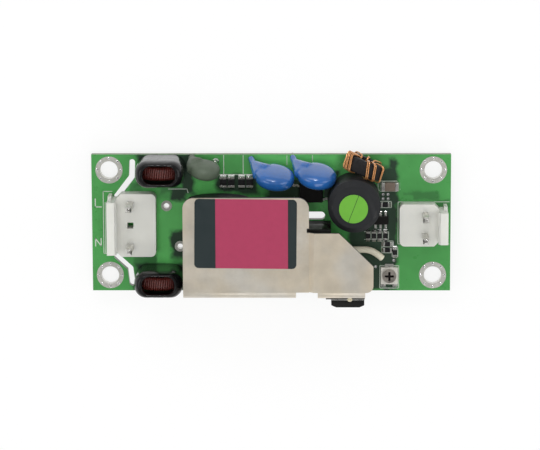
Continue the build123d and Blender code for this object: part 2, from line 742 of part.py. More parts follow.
def gull_lead(width, root_height, reach):
    """A lead out of a package along +X: level shoulder, upright and foot."""
    shoulder = reach * GULL_SHOULDER_SHARE
    lead = block(0, shoulder, -width / 2, width / 2, root_height, root_height + GULL_THICKNESS)
    lead += block(
        shoulder - GULL_THICKNESS, shoulder, -width / 2, width / 2, 0, root_height + GULL_THICKNESS
    )
    lead += block(shoulder - GULL_THICKNESS, reach, -width / 2, width / 2, 0, GULL_THICKNESS)
    return lead


def gull_rows(length, count, pitch, width, root_height, reach):
    """Leads on both X ends of a package."""
    leads = []
    for y in row_places(count, pitch):
        lead = Pos(length / 2, y, 0) * gull_lead(width, root_height, reach)
        leads += [lead, Rot(0, 0, 180) * lead]
    return leads


def package(length, width, height):
    """A moulded package with a drafted upper half, its underside clear of the board."""
    middle = BODY_STAND_OFF + (height - BODY_STAND_OFF) / 2
    lower = block(-length / 2, length / 2, -width / 2, width / 2, BODY_STAND_OFF, middle)
    upper = extrude(Pos(0, 0, middle) * Rectangle(length, width), height - middle, taper=PACKAGE_DRAFT)
    return lower + upper


def optocoupler():
    return Pos(*OPTO_CENTRE, TOP) * package(OPTO_LENGTH, OPTO_WIDTH, OPTO_HEIGHT)


def optocoupler_leads():
    root = OPTO_HEIGHT / 2 - GULL_THICKNESS
    leads = gull_rows(OPTO_LENGTH, 2, OPTO_LEAD_PITCH, GULL_WIDTH, root, GULL_REACH)
    return Compound(children=[Pos(*OPTO_CENTRE, TOP) * lead for lead in leads])


def chip_body(size):
    width, length, height = size
    return Pos(0, 0, height / 2) * Box(width, length * (1 - 2 * CAP_SHARE), height)


def chip_caps(size):
    width, length, height = size
    cap = length * CAP_SHARE
    offset = length / 2 - cap / 2
    return [Pos(0, side * offset, height / 2) * Box(width, cap, height) for side in (-1, 1)]


def chip_places():
    """Every secondary chip: its place and its turn about Z."""
    upright = [(x, y, 0) for x, y in SECONDARY_UPRIGHT_CHIPS]
    level = [(x, y, 90) for x, y in SECONDARY_LEVEL_CHIPS]
    return upright + level


def primary_chip_bodies():
    return Compound(children=[Pos(x, PRIMARY_CHIP_Y, TOP) * chip_body(CHIP_2012) for x in PRIMARY_CHIPS])


def primary_chip_caps():
    return Compound(
        children=[Pos(x, PRIMARY_CHIP_Y, TOP) * cap for x in PRIMARY_CHIPS for cap in chip_caps(CHIP_2012)]
    )


def secondary_chip_bodies():
    return Compound(
        children=[Pos(x, y, TOP) * Rot(0, 0, turn) * chip_body(CHIP_1608) for x, y, turn in chip_places()]
    )


def secondary_chip_caps():
    caps = []
    for x, y, turn in chip_places():
        caps += [Pos(x, y, TOP) * Rot(0, 0, turn) * cap for cap in chip_caps(CHIP_1608)]
    return Compound(children=caps)


def filter_capacitor_body():
    return Pos(*FILTER_CAPACITOR_CENTRE, TOP) * Rot(0, 0, 90) * chip_body(FILTER_CAPACITOR)


def filter_capacitor_caps():
    place = Pos(*FILTER_CAPACITOR_CENTRE, TOP) * Rot(0, 0, 90)
    return Compound(children=[place * cap for cap in chip_caps(FILTER_CAPACITOR)])


def regulator_body():
    return Pos(*REGULATOR_CENTRE, TOP) * package(REGULATOR_LENGTH, REGULATOR_WIDTH, REGULATOR_HEIGHT)


def regulator_leads():
    root = REGULATOR_HEIGHT / 2 - GULL_THICKNESS
    leads = gull_rows(REGULATOR_WIDTH, 3, REGULATOR_LEAD_PITCH, GULL_WIDTH, root, SMALL_GULL_REACH)
    place = Pos(*REGULATOR_CENTRE, TOP) * Rot(0, 0, 90)
    return Compound(children=[place * lead for lead in leads])


def trimmer_base():
    """A ceramic block with a bore for the rotor's shaft and a recess for its rivet."""
    base = turned_box((0, 0, 0), (TRIMMER_WIDTH, TRIMMER_WIDTH, TRIMMER_BASE_HEIGHT))
    base -= Pos(0, 0, TRIMMER_BASE_HEIGHT / 2) * Cylinder(TRIMMER_BORE_RADIUS, TRIMMER_BASE_HEIGHT)
    recess = TRIMMER_RIVET_RADIUS + TRIMMER_RUNNING_FIT
    base -= Pos(0, 0, TRIMMER_RIVET_RECESS / 2) * Cylinder(recess, TRIMMER_RIVET_RECESS)
    return Pos(*TRIMMER_CENTRE, TOP) * base


def trimmer_rotor():
    """A slotted disc on a shaft that is riveted under the base."""
    disc_z = TRIMMER_BASE_HEIGHT + TRIMMER_END_PLAY
    disc = Pos(0, 0, disc_z + TRIMMER_DISC_HEIGHT / 2) * Cylinder(TRIMMER_DISC_RADIUS, TRIMMER_DISC_HEIGHT)
    slot_z = disc_z + TRIMMER_DISC_HEIGHT - TRIMMER_SLOT_DEPTH / 2
    for turn in (0, 90):
        slot = Box(TRIMMER_SLOT_LENGTH, TRIMMER_SLOT_WIDTH, TRIMMER_SLOT_DEPTH)
        disc -= Pos(0, 0, slot_z) * Rot(0, 0, turn) * slot
    rivet_top = TRIMMER_RIVET_RECESS - TRIMMER_END_PLAY
    rivet_z = rivet_top - TRIMMER_RIVET_THICKNESS
    shaft_radius = TRIMMER_BORE_RADIUS - TRIMMER_RUNNING_FIT
    shaft = Pos(0, 0, (rivet_z + disc_z) / 2) * Cylinder(shaft_radius, disc_z - rivet_z)
    rivet = Cylinder(TRIMMER_RIVET_RADIUS, TRIMMER_RIVET_THICKNESS)
    rivet = Pos(0, 0, (rivet_z + rivet_top) / 2) * rivet
    return Pos(*TRIMMER_CENTRE, TOP) * (disc + shaft + rivet)


def trimmer_terminals():
    """One wide terminal to the north and two narrow ones to the south."""
    half = TRIMMER_WIDTH / 2
    reach = TRIMMER_TERMINAL_REACH
    height = TRIMMER_TERMINAL_HEIGHT
    wiper = block(-TRIMMER_WIPER_WIDTH / 2, TRIMMER_WIPER_WIDTH / 2, half, half + reach, 0, height)
    west = block(-half, -TRIMMER_END_GAP / 2, -half - reach, -half, 0, height)
    east = block(TRIMMER_END_GAP / 2, half, -half - reach, -half, 0, height)
    return Compound(children=[Pos(*TRIMMER_CENTRE, TOP) * terminal for terminal in (wiper, west, east)])


def transformer_lead():
    """A sleeved lead that leaves the core's side and lies on the board as far as its pad."""
    radius = SLEEVED_LEAD_DIAMETER / 2
    z = TOP + radius
    start = (TRANSFORMER_CENTRE[0] + CORE_WIDTH / 2, SLEEVED_LEAD_ROUTE[0][1], z)
    path = FilletPolyline(start, *[(x, y, z) for x, y in SLEEVED_LEAD_ROUTE], radius=SLEEVED_LEAD_BEND)
    return sweep(path.location_at(0) * Circle(radius), path)


def under_board(centre):
    """Turns a part over onto the solder side."""
    return Pos(*centre, 0) * Rot(180, 0, 0)


def bridge_body():
    return under_board(BRIDGE_CENTRE) * package(BRIDGE_LENGTH, BRIDGE_WIDTH, BRIDGE_HEIGHT)


def bridge_leads():
    root = BRIDGE_HEIGHT / 2 - GULL_THICKNESS
    leads = gull_rows(BRIDGE_LENGTH, 2, BRIDGE_LEAD_PITCH, BRIDGE_LEAD_WIDTH, root, GULL_REACH)
    return Compound(children=[under_board(BRIDGE_CENTRE) * lead for lead in leads])


def controller_body():
    return under_board(CONTROLLER_CENTRE) * package(CONTROLLER_WIDTH, CONTROLLER_LENGTH, CONTROLLER_HEIGHT)


def controller_leads():
    root = CONTROLLER_HEIGHT / 2 - GULL_THICKNESS
    leads = gull_rows(CONTROLLER_WIDTH, 4, CONTROLLER_LEAD_PITCH, GULL_WIDTH, root, GULL_REACH)
    return Compound(children=[under_board(CONTROLLER_CENTRE) * lead for lead in leads])


def fuse_body():
    return under_board(FUSE_CENTRE) * chip_body(FUSE)


def fuse_caps():
    return Compound(children=[under_board(FUSE_CENTRE) * cap for cap in chip_caps(FUSE)])


PARTS = {
    "circuit_board": circuit_board(),
    "mains_header_housing": mains_header_housing(),
    "mains_header_pins": header_pins(*header_pin_rows()[0]),
    "output_header_housing": output_header_housing(),
    "output_header_pins": header_pins(*header_pin_rows()[1]),
    "north_choke_sleeve": choke_sleeve(NORTH_CHOKE),
    "north_choke_winding": choke_winding(NORTH_CHOKE),
    "south_choke_sleeve": choke_sleeve(SOUTH_CHOKE),
    "south_choke_winding": choke_winding(SOUTH_CHOKE),
    "inrush_thermistor": inrush_thermistor(),
    "inrush_thermistor_leads": inrush_thermistor_leads(),
    "left_safety_capacitor": safety_capacitor(LEFT_CAP_CENTRE),
    "left_safety_capacitor_leads": safety_capacitor_leads(LEFT_CAP_CENTRE),
    "right_safety_capacitor": safety_capacitor(RIGHT_CAP_CENTRE),
    "right_safety_capacitor_leads": safety_capacitor_leads(RIGHT_CAP_CENTRE),
    "ring_choke_core": ring_choke_core(),
    "ring_choke_winding": ring_choke_winding(),
    "output_capacitor": output_capacitor(),
    "output_capacitor_sticker": output_capacitor_sticker(),
    "heat_spreader": heat_spreader(),
    "spreader_label": spreader_label(),
    "rectifier_pad": rectifier_pad(),
    "rectifier_body": rectifier_body(),
    "rectifier_leads": rectifier_leads(),
    "transformer_core_lower": transformer_core_lower(),
    "transformer_core_upper": transformer_core_upper(),
    "transformer_bobbin": transformer_bobbin(),
    "transformer_coil": transformer_coil(),
    "transformer_pins": transformer_pins(),
    "bulk_capacitor": bulk_capacitor(),
    "bulk_capacitor_leads": bulk_capacitor_leads(),
    "optocoupler": optocoupler(),
    "optocoupler_leads": optocoupler_leads(),
    "primary_chip_bodies": primary_chip_bodies(),
    "primary_chip_caps": primary_chip_caps(),
    "secondary_chip_bodies": secondary_chip_bodies(),
    "secondary_chip_caps": secondary_chip_caps(),
    "filter_capacitor_body": filter_capacitor_body(),
    "filter_capacitor_caps": filter_capacitor_caps(),
    "regulator_body": regulator_body(),
    "regulator_leads": regulator_leads(),
    "trimmer_base": trimmer_base(),
    "trimmer_rotor": trimmer_rotor(),
    "trimmer_terminals": trimmer_terminals(),
    "transformer_lead": transformer_lead(),
    "bridge_body": bridge_body(),
    "bridge_leads": bridge_leads(),
    "controller_body": controller_body(),
    "controller_leads": controller_leads(),
    "fuse_body": fuse_body(),
    "fuse_caps": fuse_caps(),
}

os.makedirs("parts", exist_ok=True)
for name, shape in PARTS.items():
    export_step(shape, f"parts/{name}.step")
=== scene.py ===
import math

import bpy
import numpy as np
from mathutils import Matrix, Vector


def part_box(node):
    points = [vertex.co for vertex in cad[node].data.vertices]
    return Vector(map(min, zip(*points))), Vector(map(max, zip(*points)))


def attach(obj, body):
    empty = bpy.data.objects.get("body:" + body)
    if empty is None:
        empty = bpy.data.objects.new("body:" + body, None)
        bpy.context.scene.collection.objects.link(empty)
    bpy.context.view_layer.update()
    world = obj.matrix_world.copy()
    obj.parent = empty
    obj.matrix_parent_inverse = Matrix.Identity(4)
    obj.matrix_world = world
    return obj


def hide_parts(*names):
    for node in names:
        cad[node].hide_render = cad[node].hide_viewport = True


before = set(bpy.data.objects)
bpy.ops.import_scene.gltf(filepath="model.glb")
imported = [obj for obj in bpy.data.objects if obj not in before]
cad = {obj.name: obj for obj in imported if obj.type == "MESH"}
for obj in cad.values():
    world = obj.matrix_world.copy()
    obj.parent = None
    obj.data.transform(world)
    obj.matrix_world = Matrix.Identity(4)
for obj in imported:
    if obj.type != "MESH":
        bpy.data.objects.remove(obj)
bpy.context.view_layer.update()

# Shapes are given in millimetres in the shared frame and scaled to metres when their meshes are made. The
# frame's zero height is the underside of the board.
MM = 0.001
TOP = 1.6            # the board's component side
BOARD_SIDE = 12.9    # just inside the board's north and south edges
FLOOR = -1.8         # where the pins and tabs under the board end
UP = np.array([0.0, 0.0, 1.0])


# Shapes

class Shape:
    """Points and faces of one piece."""

    def __init__(self):
        self.points = []
        self.faces = []

    def skin(self, rows, caps=True, loop=False):
        """Joins equally long closed rows of points into one skin."""
        count = len(rows[0])
        start = len(self.points)
        for row in rows:
            self.points += [tuple(p) for p in row]
        steps = len(rows) if loop else len(rows) - 1
        for r in range(steps):
            a = start + r * count
            b = start + ((r + 1) % len(rows)) * count
            for i in range(count):
                j = (i + 1) % count
                self.faces.append((a + i, a + j, b + j, b + i))
        if caps and not loop:
            last = start + (len(rows) - 1) * count
            self.faces.append(tuple(start + i for i in reversed(range(count))))
            self.faces.append(tuple(last + i for i in range(count)))

    def tube(self, path, radius, sides, loop=False):
        """A round wire along a path, with one radius or one for each point."""
        path = np.array(path, float)
        radii = np.broadcast_to(radius, len(path))
        ahead = np.roll(path, -1, 0) - np.roll(path, 1, 0) if loop else np.gradient(path, axis=0)
        ahead = ahead / np.linalg.norm(ahead, axis=1)[:, None]
        side = np.cross(ahead[0], np.eye(3)[np.argmin(abs(ahead[0]))])
        turn = np.linspace(0, 2 * math.pi, sides, endpoint=False)
        rows = []
        for point, way, r in zip(path, ahead, radii):
            side = side - way * (side @ way)
            side = side / np.linalg.norm(side)
            other = np.cross(way, side)
            rows.append(point + r * (np.outer(np.cos(turn), side) + np.outer(np.sin(turn), other)))
        self.skin(rows, loop=loop)

    def turned(self, profile, origin, axis, segments):
        """A turned form: profile is a list of (radius, height along the axis)."""
        axis = np.array(axis, float) / np.linalg.norm(axis)
        side = np.cross(axis, np.eye(3)[np.argmin(abs(axis))])
        side = side / np.linalg.norm(side)
        other = np.cross(axis, side)
        turn = np.linspace(0, 2 * math.pi, segments, endpoint=False)
        ring = np.outer(np.cos(turn), side) + np.outer(np.sin(turn), other)
        self.skin([np.array(origin) + h * axis + r * ring for r, h in profile])

    def washer(self, x, y, inner, outer, low, high, segments):
        """A flat ring with slightly rounded rims."""
        soft = min(0.02, (high - low) / 3)
        section = [(inner, low), (outer, low), (outer, high - soft), (outer - soft, high),
                   (inner + soft, high), (inner, high - soft)]
        turn = np.linspace(0, 2 * math.pi, segments, endpoint=False)
        rows = [[(x + r * math.cos(t), y + r * math.sin(t), z) for r, z in section] for t in turn]
        self.skin(rows, loop=True)

    def strip(self, start, end, width, low, high):
        """A flat printed line between two points."""
        run = Vector((end[0] - start[0], end[1] - start[1]))
        way = run.normalized() * (width / 2)
        across = Vector((-way.y, way.x))
        a = Vector(start) - way
        b = Vector(end) + way
        corners = [a + across, a - across, b - across, b + across]
        self.skin([[(c.x, c.y, z) for c in corners] for z in (low, high)])

    def lines(self, points, width, low, high):
        for start, end in zip(points, points[1:]):
            self.strip(start, end, width, low, high)

    def wedge(self, x, y, way, width, reach, height):
        """A hollow solder fillet that rises towards a terminal; way is the direction away from it."""
        out = Vector(way)
        across = Vector((-out.y, out.x)) * (width / 2)
        section = [(0.0, 0.0), (reach, 0.0), (reach * 0.4, height * 0.35), (0.0, height)]
        rows = []
        for side in (-1, 1):
            edge = Vector((x, y)) + across * side
            rows.append([(edge.x + out.x * run, edge.y + out.y * run, TOP + rise) for run, rise in section])
        self.skin(rows)

    def mesh(self, name):
        mesh = bpy.data.meshes.new(name)
        mesh.from_pydata([(x * MM, y * MM, z * MM) for x, y, z in self.points], [], self.faces)
        mesh.validate()
        return mesh


def piece(name, form, material, stands_for=(), body="board", crease=40):
    """A piece that rides on a body, from a shape or from a mesh that is already made."""
    mesh = form.mesh(name) if isinstance(form, Shape) else form
    mesh.materials.clear()
    mesh.materials.append(material)
    mesh.shade_smooth()
    mesh.set_sharp_from_angle(angle=math.radians(crease))
    obj = bpy.data.objects.new(name, mesh)
    bpy.context.scene.collection.objects.link(obj)
    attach(obj, body)
    if stands_for:
        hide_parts(*stands_for)


def melted(shape, voxel, smoothing):
    """The shape's parts flowed into one skin, as a dipped coating is."""
    obj = bpy.data.objects.new("melting", shape.mesh("melting"))
    bpy.context.scene.collection.objects.link(obj)
    remesh = obj.modifiers.new("skin", "REMESH")
    remesh.mode = "VOXEL"
    remesh.voxel_size = voxel * MM
    smooth = obj.modifiers.new("flow", "SMOOTH")
    smooth.factor = 0.5
    smooth.iterations = smoothing
    bpy.context.view_layer.update()
    result = bpy.data.meshes.new_from_object(obj.evaluated_get(bpy.context.evaluated_depsgraph_get()))
    bpy.data.objects.remove(obj)
    return result


def rounded_outline(half_x, half_y, radius, arc=8, side=6):
    """Points round a rounded rectangle, the same number for any size."""
    quarter = [(half_x, (half_y - radius) * i / side) for i in range(side)]
    for i in range(arc):
        turn = math.pi / 2 * i / (arc - 1)
        quarter.append((half_x - radius + radius * math.cos(turn), half_y - radius + radius * math.sin(turn)))
    quarter += [((half_x - radius) * (1 - i / side), half_y) for i in range(1, side)]
    mirrored = [(0.0, half_y)] + quarter[:0:-1]
    points = quarter + [(-x, y) for x, y in mirrored]
    return np.array(points + [(-x, -y) for x, y in quarter] + [(x, -y) for x, y in mirrored])


def section_loop(low, high, half_depth, corner, steps=5):
    """A rounded rectangle in a ring's section, as (distance from the ring's axis, depth)."""
    loop = []
    for centre_r, centre_y, first in (
        (high - corner, half_depth - corner, 0), (low + corner, half_depth - corner, 90),
        (low + corner, corner - half_depth, 180), (high - corner, corner - half_depth, 270),
    ):
        for i in range(steps):
            turn = math.radians(first + 90 * i / (steps - 1))
            loop.append((centre_r + corner * math.cos(turn), centre_y + corner * math.sin(turn)))
    return loop


# Shared effects for the materials

def effect(name, inputs, outputs):
    group = bpy.data.node_groups.new(name, "ShaderNodeTree")
    for label, kind, value in inputs:
        group.interface.new_socket(label, in_out="INPUT", socket_type=kind).default_value = value
    for label, kind in outputs:
        group.interface.new_socket(label, in_out="OUTPUT", socket_type=kind)
    return group, group.nodes.new("NodeGroupInput"), group.nodes.new("NodeGroupOutput")


def node(tree, kind, **settings):
    made = tree.nodes.new(kind)
    for key, value in settings.items():
        setattr(made, key, value)
    return made


def feed(tree, value, socket):
    """Gives a socket a number, a vector or a colour, or links another socket to it."""
    if isinstance(value, bpy.types.NodeSocket):
        tree.links.new(value, socket)
    else:
        socket.default_value = value


def math_node(tree, operation, a, b=0.0):
    made = node(tree, "ShaderNodeMath", operation=operation)
    feed(tree, a, made.inputs[0])
    feed(tree, b, made.inputs[1])
    return made.outputs[0]


def map_range(tree, value, from_min, from_max, to_min=0.0, to_max=1.0):
    made = node(tree, "ShaderNodeMapRange")
    labels = ("Value", "From Min", "From Max", "To Min", "To Max")
    for label, given in zip(labels, (value, from_min, from_max, to_min, to_max)):
        feed(tree, given, made.inputs[label])
    return made.outputs["Result"]


def object_place(tree):
    """The object's own coordinates, so that what is drawn on them stays with the piece."""
    return node(tree, "ShaderNodeTexCoord").outputs["Object"]


def mapped(tree, vector, kind="POINT", **settings):
    made = node(tree, "ShaderNodeMapping", vector_type=kind)
    tree.links.new(vector, made.inputs["Vector"])
    for label, value in settings.items():
        made.inputs[label].default_value = value
    return made.outputs["Vector"]


def axes(tree, vector):
    """A vector's X, Y and Z."""
    made = node(tree, "ShaderNodeSeparateXYZ")
    tree.links.new(vector, made.inputs["Vector"])
    return made.outputs


def object_noise(tree, scale, stretch=(1, 1, 1), detail=3.0):
    """Noise on the object's own coordinates."""
    noise = node(tree, "ShaderNodeTexNoise")
    noise.inputs["Detail"].default_value = detail
    tree.links.new(mapped(tree, object_place(tree), Scale=stretch), noise.inputs["Vector"])
    feed(tree, scale, noise.inputs["Scale"])
    return noise.outputs["Fac"]


def make_mottle():
    """A colour made a little lighter and darker in patches."""
    group, given, out = effect(
        "colour_mottle",
        [("Color", "NodeSocketColor", (0.5, 0.5, 0.5, 1)), ("Scale", "NodeSocketFloat", 900.0),
         ("Amount", "NodeSocketFloat", 0.15)],
        [("Color", "NodeSocketColor")],
    )
    noise = object_noise(group, given.outputs["Scale"])
    centred = math_node(group, "SUBTRACT", noise, 0.5)
    scaled = math_node(group, "MULTIPLY", centred, given.outputs["Amount"])
    value = math_node(group, "ADD", math_node(group, "MULTIPLY", scaled, 2.0), 1.0)
    tint = node(group, "ShaderNodeHueSaturation")
    group.links.new(given.outputs["Color"], tint.inputs["Color"])
    group.links.new(value, tint.inputs["Value"])
    group.links.new(tint.outputs["Color"], out.inputs["Color"])
    return group


def make_drift():
    """A roughness that drifts between two values."""
    group, given, out = effect(
        "roughness_drift",
        [("Low", "NodeSocketFloat", 0.3), ("High", "NodeSocketFloat", 0.5), ("Scale", "NodeSocketFloat", 700.0)],
        [("Roughness", "NodeSocketFloat")],
    )
    noise = object_noise(group, given.outputs["Scale"], detail=5.0)
    rough = map_range(group, noise, 0.3, 0.7, given.outputs["Low"], given.outputs["High"])
    group.links.new(rough, out.inputs["Roughness"])
    return group


def make_grain():
    """A height for a fine uneven surface."""
    group, given, out = effect(
        "surface_grain", [("Scale", "NodeSocketFloat", 5000.0)], [("Height", "NodeSocketFloat")])
    noise = object_noise(group, given.outputs["Scale"], detail=4.0)
    group.links.new(noise, out.inputs["Height"])
    return group


def make_field():
    """A mask that is 1 inside a rectangle of the XY plane, in metres; its edge may be soft and uneven."""
    sides = ("West", "East", "South", "North")
    group, given, out = effect(
        "printed_field",
        [(label, "NodeSocketFloat", 0.0) for label in sides]
        + [("Soft", "NodeSocketFloat", 0.00002), ("Wander", "NodeSocketFloat", 0.0)],
        [("Mask", "NodeSocketFloat")],
    )
    place = axes(group, object_place(group))
    west, east, south, north = (given.outputs[label] for label in sides)
    inside = math_node(group, "SUBTRACT", place["X"], west)
    for first, second in ((east, place["X"]), (place["Y"], south), (north, place["Y"])):
        inside = math_node(group, "MINIMUM", inside, math_node(group, "SUBTRACT", first, second))
    uneven = math_node(group, "SUBTRACT", object_noise(group, 480.0), 0.5)
    inside = math_node(group, "ADD", inside, math_node(group, "MULTIPLY", uneven, given.outputs["Wander"]))
    share = math_node(group, "DIVIDE", inside, given.outputs["Soft"])
    clamped = node(group, "ShaderNodeClamp")
    group.links.new(math_node(group, "ADD", share, 0.5), clamped.inputs["Value"])
    group.links.new(clamped.outputs["Result"], out.inputs["Mask"])
    return group


def make_edges():
    """A mask that is 1 on worn outer edges."""
    group, given, out = effect(
        "worn_edges", [("Amount", "NodeSocketFloat", 0.5)], [("Mask", "NodeSocketFloat")])
    pointed = node(group, "ShaderNodeNewGeometry").outputs["Pointiness"]
    outer = map_range(group, pointed, 0.52, 0.62)
    broken = math_node(group, "MULTIPLY", outer, object_noise(group, 1800.0))
    group.links.new(math_node(group, "MULTIPLY", broken, given.outputs["Amount"]), out.inputs["Mask"])
    return group


MOTTLE = make_mottle()
DRIFT = make_drift()
GRAIN = make_grain()
FIELD = make_field()
EDGES = make_edges()


def use(tree, group, **values):
    """The one output of a shared effect."""
    made = node(tree, "ShaderNodeGroup", node_tree=group)
    for label, value in values.items():
        feed(tree, value, made.inputs[label])
    return made.outputs[0]


def mix_colours(tree, mask, first, second):
    """first where the mask is 0, second where it is 1; each a colour or a socket."""
    made = node(tree, "ShaderNodeMix", data_type="RGBA")
    for label, kind, value in (("Factor", "VALUE", mask), ("A", "RGBA", first), ("B", "RGBA", second)):
        feed(tree, value, [s for s in made.inputs if s.name == label and s.type == kind][0])
    return [s for s in made.outputs if s.type == "RGBA"][0]


class Finish:
    """One material: a shader, and the shared effects that feed it."""

    def __init__(self, name, **constants):
        self.material = bpy.data.materials.new(name)
        self.material.use_nodes = True
        self.tree = self.material.node_tree
        self.shader = self.tree.nodes["Principled BSDF"]
        for label, value in constants.items():
            self.shader.inputs[label.replace("_", " ")].default_value = value

    def colour(self, source, scale, amount):
        """A colour, or a socket that gives one, broken up by mottling."""
        mottled = use(self.tree, MOTTLE, Color=source, Scale=scale, Amount=amount)
        self.tree.links.new(mottled, self.shader.inputs["Base Color"])
        return self

    def roughness(self, low, high, scale):
        drift = use(self.tree, DRIFT, Low=low, High=high, Scale=scale)
        self.tree.links.new(drift, self.shader.inputs["Roughness"])
        return self

    def relief(self, height, strength, depth):
        bump = node(self.tree, "ShaderNodeBump")
        bump.inputs["Strength"].default_value = strength
        bump.inputs["Distance"].default_value = depth * MM
        self.tree.links.new(height, bump.inputs["Height"])
        self.tree.links.new(bump.outputs["Normal"], self.shader.inputs["Normal"])
        return self

    def grain(self, scale, strength, depth):
        return self.relief(use(self.tree, GRAIN, Scale=scale), strength, depth)

    def worn(self, base, edge, amount):
        """A base colour that turns to the edge colour along worn edges."""
        return mix_colours(self.tree, use(self.tree, EDGES, Amount=amount), base, edge)

    def field(self, west, east, south, north, soft=0.02, wander=0.0):
        return use(self.tree, FIELD, West=west * MM, East=east * MM, South=south * MM, North=north * MM,
                   Soft=soft * MM, Wander=wander * MM)

    def fields(self, rectangles, soft, wander):
        """One mask for several rectangles."""
        masks = [self.field(*rectangle, soft, wander) for rectangle in rectangles]
        joined = masks[0]
        for mask in masks[1:]:
            joined = math_node(self.tree, "MAXIMUM", joined, mask)
        return joined


def rgb(r, g, b):
    return (r, g, b, 1.0)


# Materials

POUR_GREEN = rgb(0.066, 0.31, 0.075)
COPPER_GREEN = rgb(0.115, 0.52, 0.125)
# The next two greens are dimmed copper and bare board, and both also serve as painted shade
TRACE_AND_SHADE_GREEN = rgb(0.044, 0.2, 0.052)
BARE_AND_SHADE_GREEN = rgb(0.02, 0.047, 0.026)
CORE_YELLOW = rgb(0.12, 0.17, 0.06)

# Rectangles of the board, as west, east, south and north: where no copper lies under the green mask, with painted
# shade added beside the heat spreader's side plate, round the trimmer and east of the output capacitor; where a
# gap or shallow traces dim it, with painted shade added south of the mains header; and where bright copper shows
# through
BARE_AND_SHADE_FIELDS = [
    (-18.9, -15.9, 4.3, 6.7), (-18.8, -16.2, -6.8, -1.6), (-16.6, -14.3, 5.6, 13.0),
    (20.0, 23.65, -12.9, 10.6), (22.2, 23.65, 9.0, 12.0), (14.6, 21.0, -12.9, 4.0),
    (-10.2, -2.6, 5.6, 9.1), (9.6, 12.4, 4.4, 9.5), (-25.2, -15.9, 7.2, 13.0), (-25.6, -15.9, -13.0, -7.9),
    (-0.9, 6.8, 3.6, 8.4),
]
TRACE_AND_SHADE_FIELDS = [
    (24.7, 26.6, 5.2, 5.6), (26.5, 31.4, 4.3, 5.9), (31.0, 33.2, 3.0, 4.4), (-26.0, -21.6, -8.6, -6.2),
    (-26.2, -24.0, 6.0, 7.6), (-20.6, -18.6, 5.6, 7.2),
]
COPPER_FIELDS = [
    (-21.8, -15.9, -1.6, 4.2), (-21.9, -18.7, -8.0, 4.2), (-14.3, -10.2, 5.8, 8.4), (-2.4, 12.4, 9.6, 13.0),
    (8.6, 12.2, 2.2, 4.6),
]


def board_finish():
    """Green mask over copper and bare board, some fields darkened as painted shade; woven glass in its relief and
    a yellow core on the cut sides.
    """
    finish = Finish("green_board", Coat_Weight=0.12, Coat_Roughness=0.12, Specular_IOR_Level=0.35)
    tree = finish.tree
    # One mask for bare board and for painted shade beside tall parts; it also sets the relief's step
    bare = finish.fields(BARE_AND_SHADE_FIELDS, 0.8, 2.4)
    # One mask for gaps and traces and for painted shade south of the mains header
    trace_and_shade = finish.fields(TRACE_AND_SHADE_FIELDS, 0.5, 1.6)
    copper = finish.fields(COPPER_FIELDS, 1.4, 1.2)
    green = mix_colours(tree, copper, POUR_GREEN, COPPER_GREEN)
    green = mix_colours(tree, trace_and_shade, green, TRACE_AND_SHADE_GREEN)
    green = mix_colours(tree, bare, green, BARE_AND_SHADE_GREEN)
    normal = axes(tree, node(tree, "ShaderNodeNewGeometry").outputs["Normal"])
    upright = math_node(tree, "LESS_THAN", math_node(tree, "ABSOLUTE", normal["Z"]), 0.5)
    finish.colour(mix_colours(tree, upright, green, CORE_YELLOW), 260.0, 0.2)
    finish.roughness(0.26, 0.4, 500.0)
    step = math_node(tree, "SUBTRACT", 1.0, bare)
    weave = math_node(tree, "MULTIPLY", object_noise(tree, 2600.0, (1, 0.35, 1)), 0.35)
    finish.relief(math_node(tree, "ADD", step, weave), 0.35, 0.03)
    return finish.material


def tin_finish():
    finish = Finish("bright_tin", Metallic=1.0)
    worn = finish.worn(rgb(0.66, 0.65, 0.61), rgb(0.86, 0.85, 0.82), 0.8)
    finish.colour(worn, 1500.0, 0.14)
    finish.roughness(0.2, 0.42, 1200.0)
    return finish.grain(2600.0, 0.12, 0.02).material


def sheet_finish():
    """Tinned sheet: warm grey with drawn lines, smudges and cooler patches; edges that face north are painted near
    black as shade.
    """
    finish = Finish("tinned_sheet", Metallic=0.72)
    tree = finish.tree
    cooler = map_range(tree, object_noise(tree, 120.0, detail=2.0), 0.42, 0.64)
    base = mix_colours(tree, cooler, rgb(0.73, 0.645, 0.51), rgb(0.66, 0.62, 0.545))
    base = finish.worn(base, rgb(0.82, 0.80, 0.75), 0.9)
    # Painted shade: faces turned towards the north, chiefly the cut edges, are coloured near black
    facing = node(tree, "ShaderNodeVectorMath", operation="DOT_PRODUCT")
    tree.links.new(node(tree, "ShaderNodeNewGeometry").outputs["Normal"], facing.inputs[0])
    facing.inputs[1].default_value = (0.45, 1.0, 0.0)
    cut = math_node(tree, "GREATER_THAN", facing.outputs["Value"], 0.16)
    finish.colour(mix_colours(tree, cut, base, rgb(0.05, 0.045, 0.04)), 450.0, 0.13)
    finish.roughness(0.34, 0.5, 260.0)
    drawn_lines = object_noise(tree, 900.0, (0.06, 3.0, 1.0), 4.0)
    return finish.relief(drawn_lines, 0.25, 0.015).material


def sleeve_finish():
    finish = Finish("shrink_sleeve", Specular_IOR_Level=0.32)
    finish.colour(rgb(0.006, 0.0058, 0.0062), 500.0, 0.3)
    finish.roughness(0.08, 0.22, 600.0)
    wrinkles = object_noise(finish.tree, 380.0, (1.6, 1.6, 0.5), 4.0)
    return finish.relief(wrinkles, 0.22, 0.1).material


def black_finish(name, colour, low, high, grain_scale, grain_strength, shine=0.2):
    finish = Finish(name, Specular_IOR_Level=shine)
    worn = finish.worn(colour, rgb(0.12, 0.12, 0.12), 0.35)
    finish.colour(worn, 800.0, 0.25)
    finish.roughness(low, high, 800.0)
    return finish.grain(grain_scale, grain_strength, 0.04).material


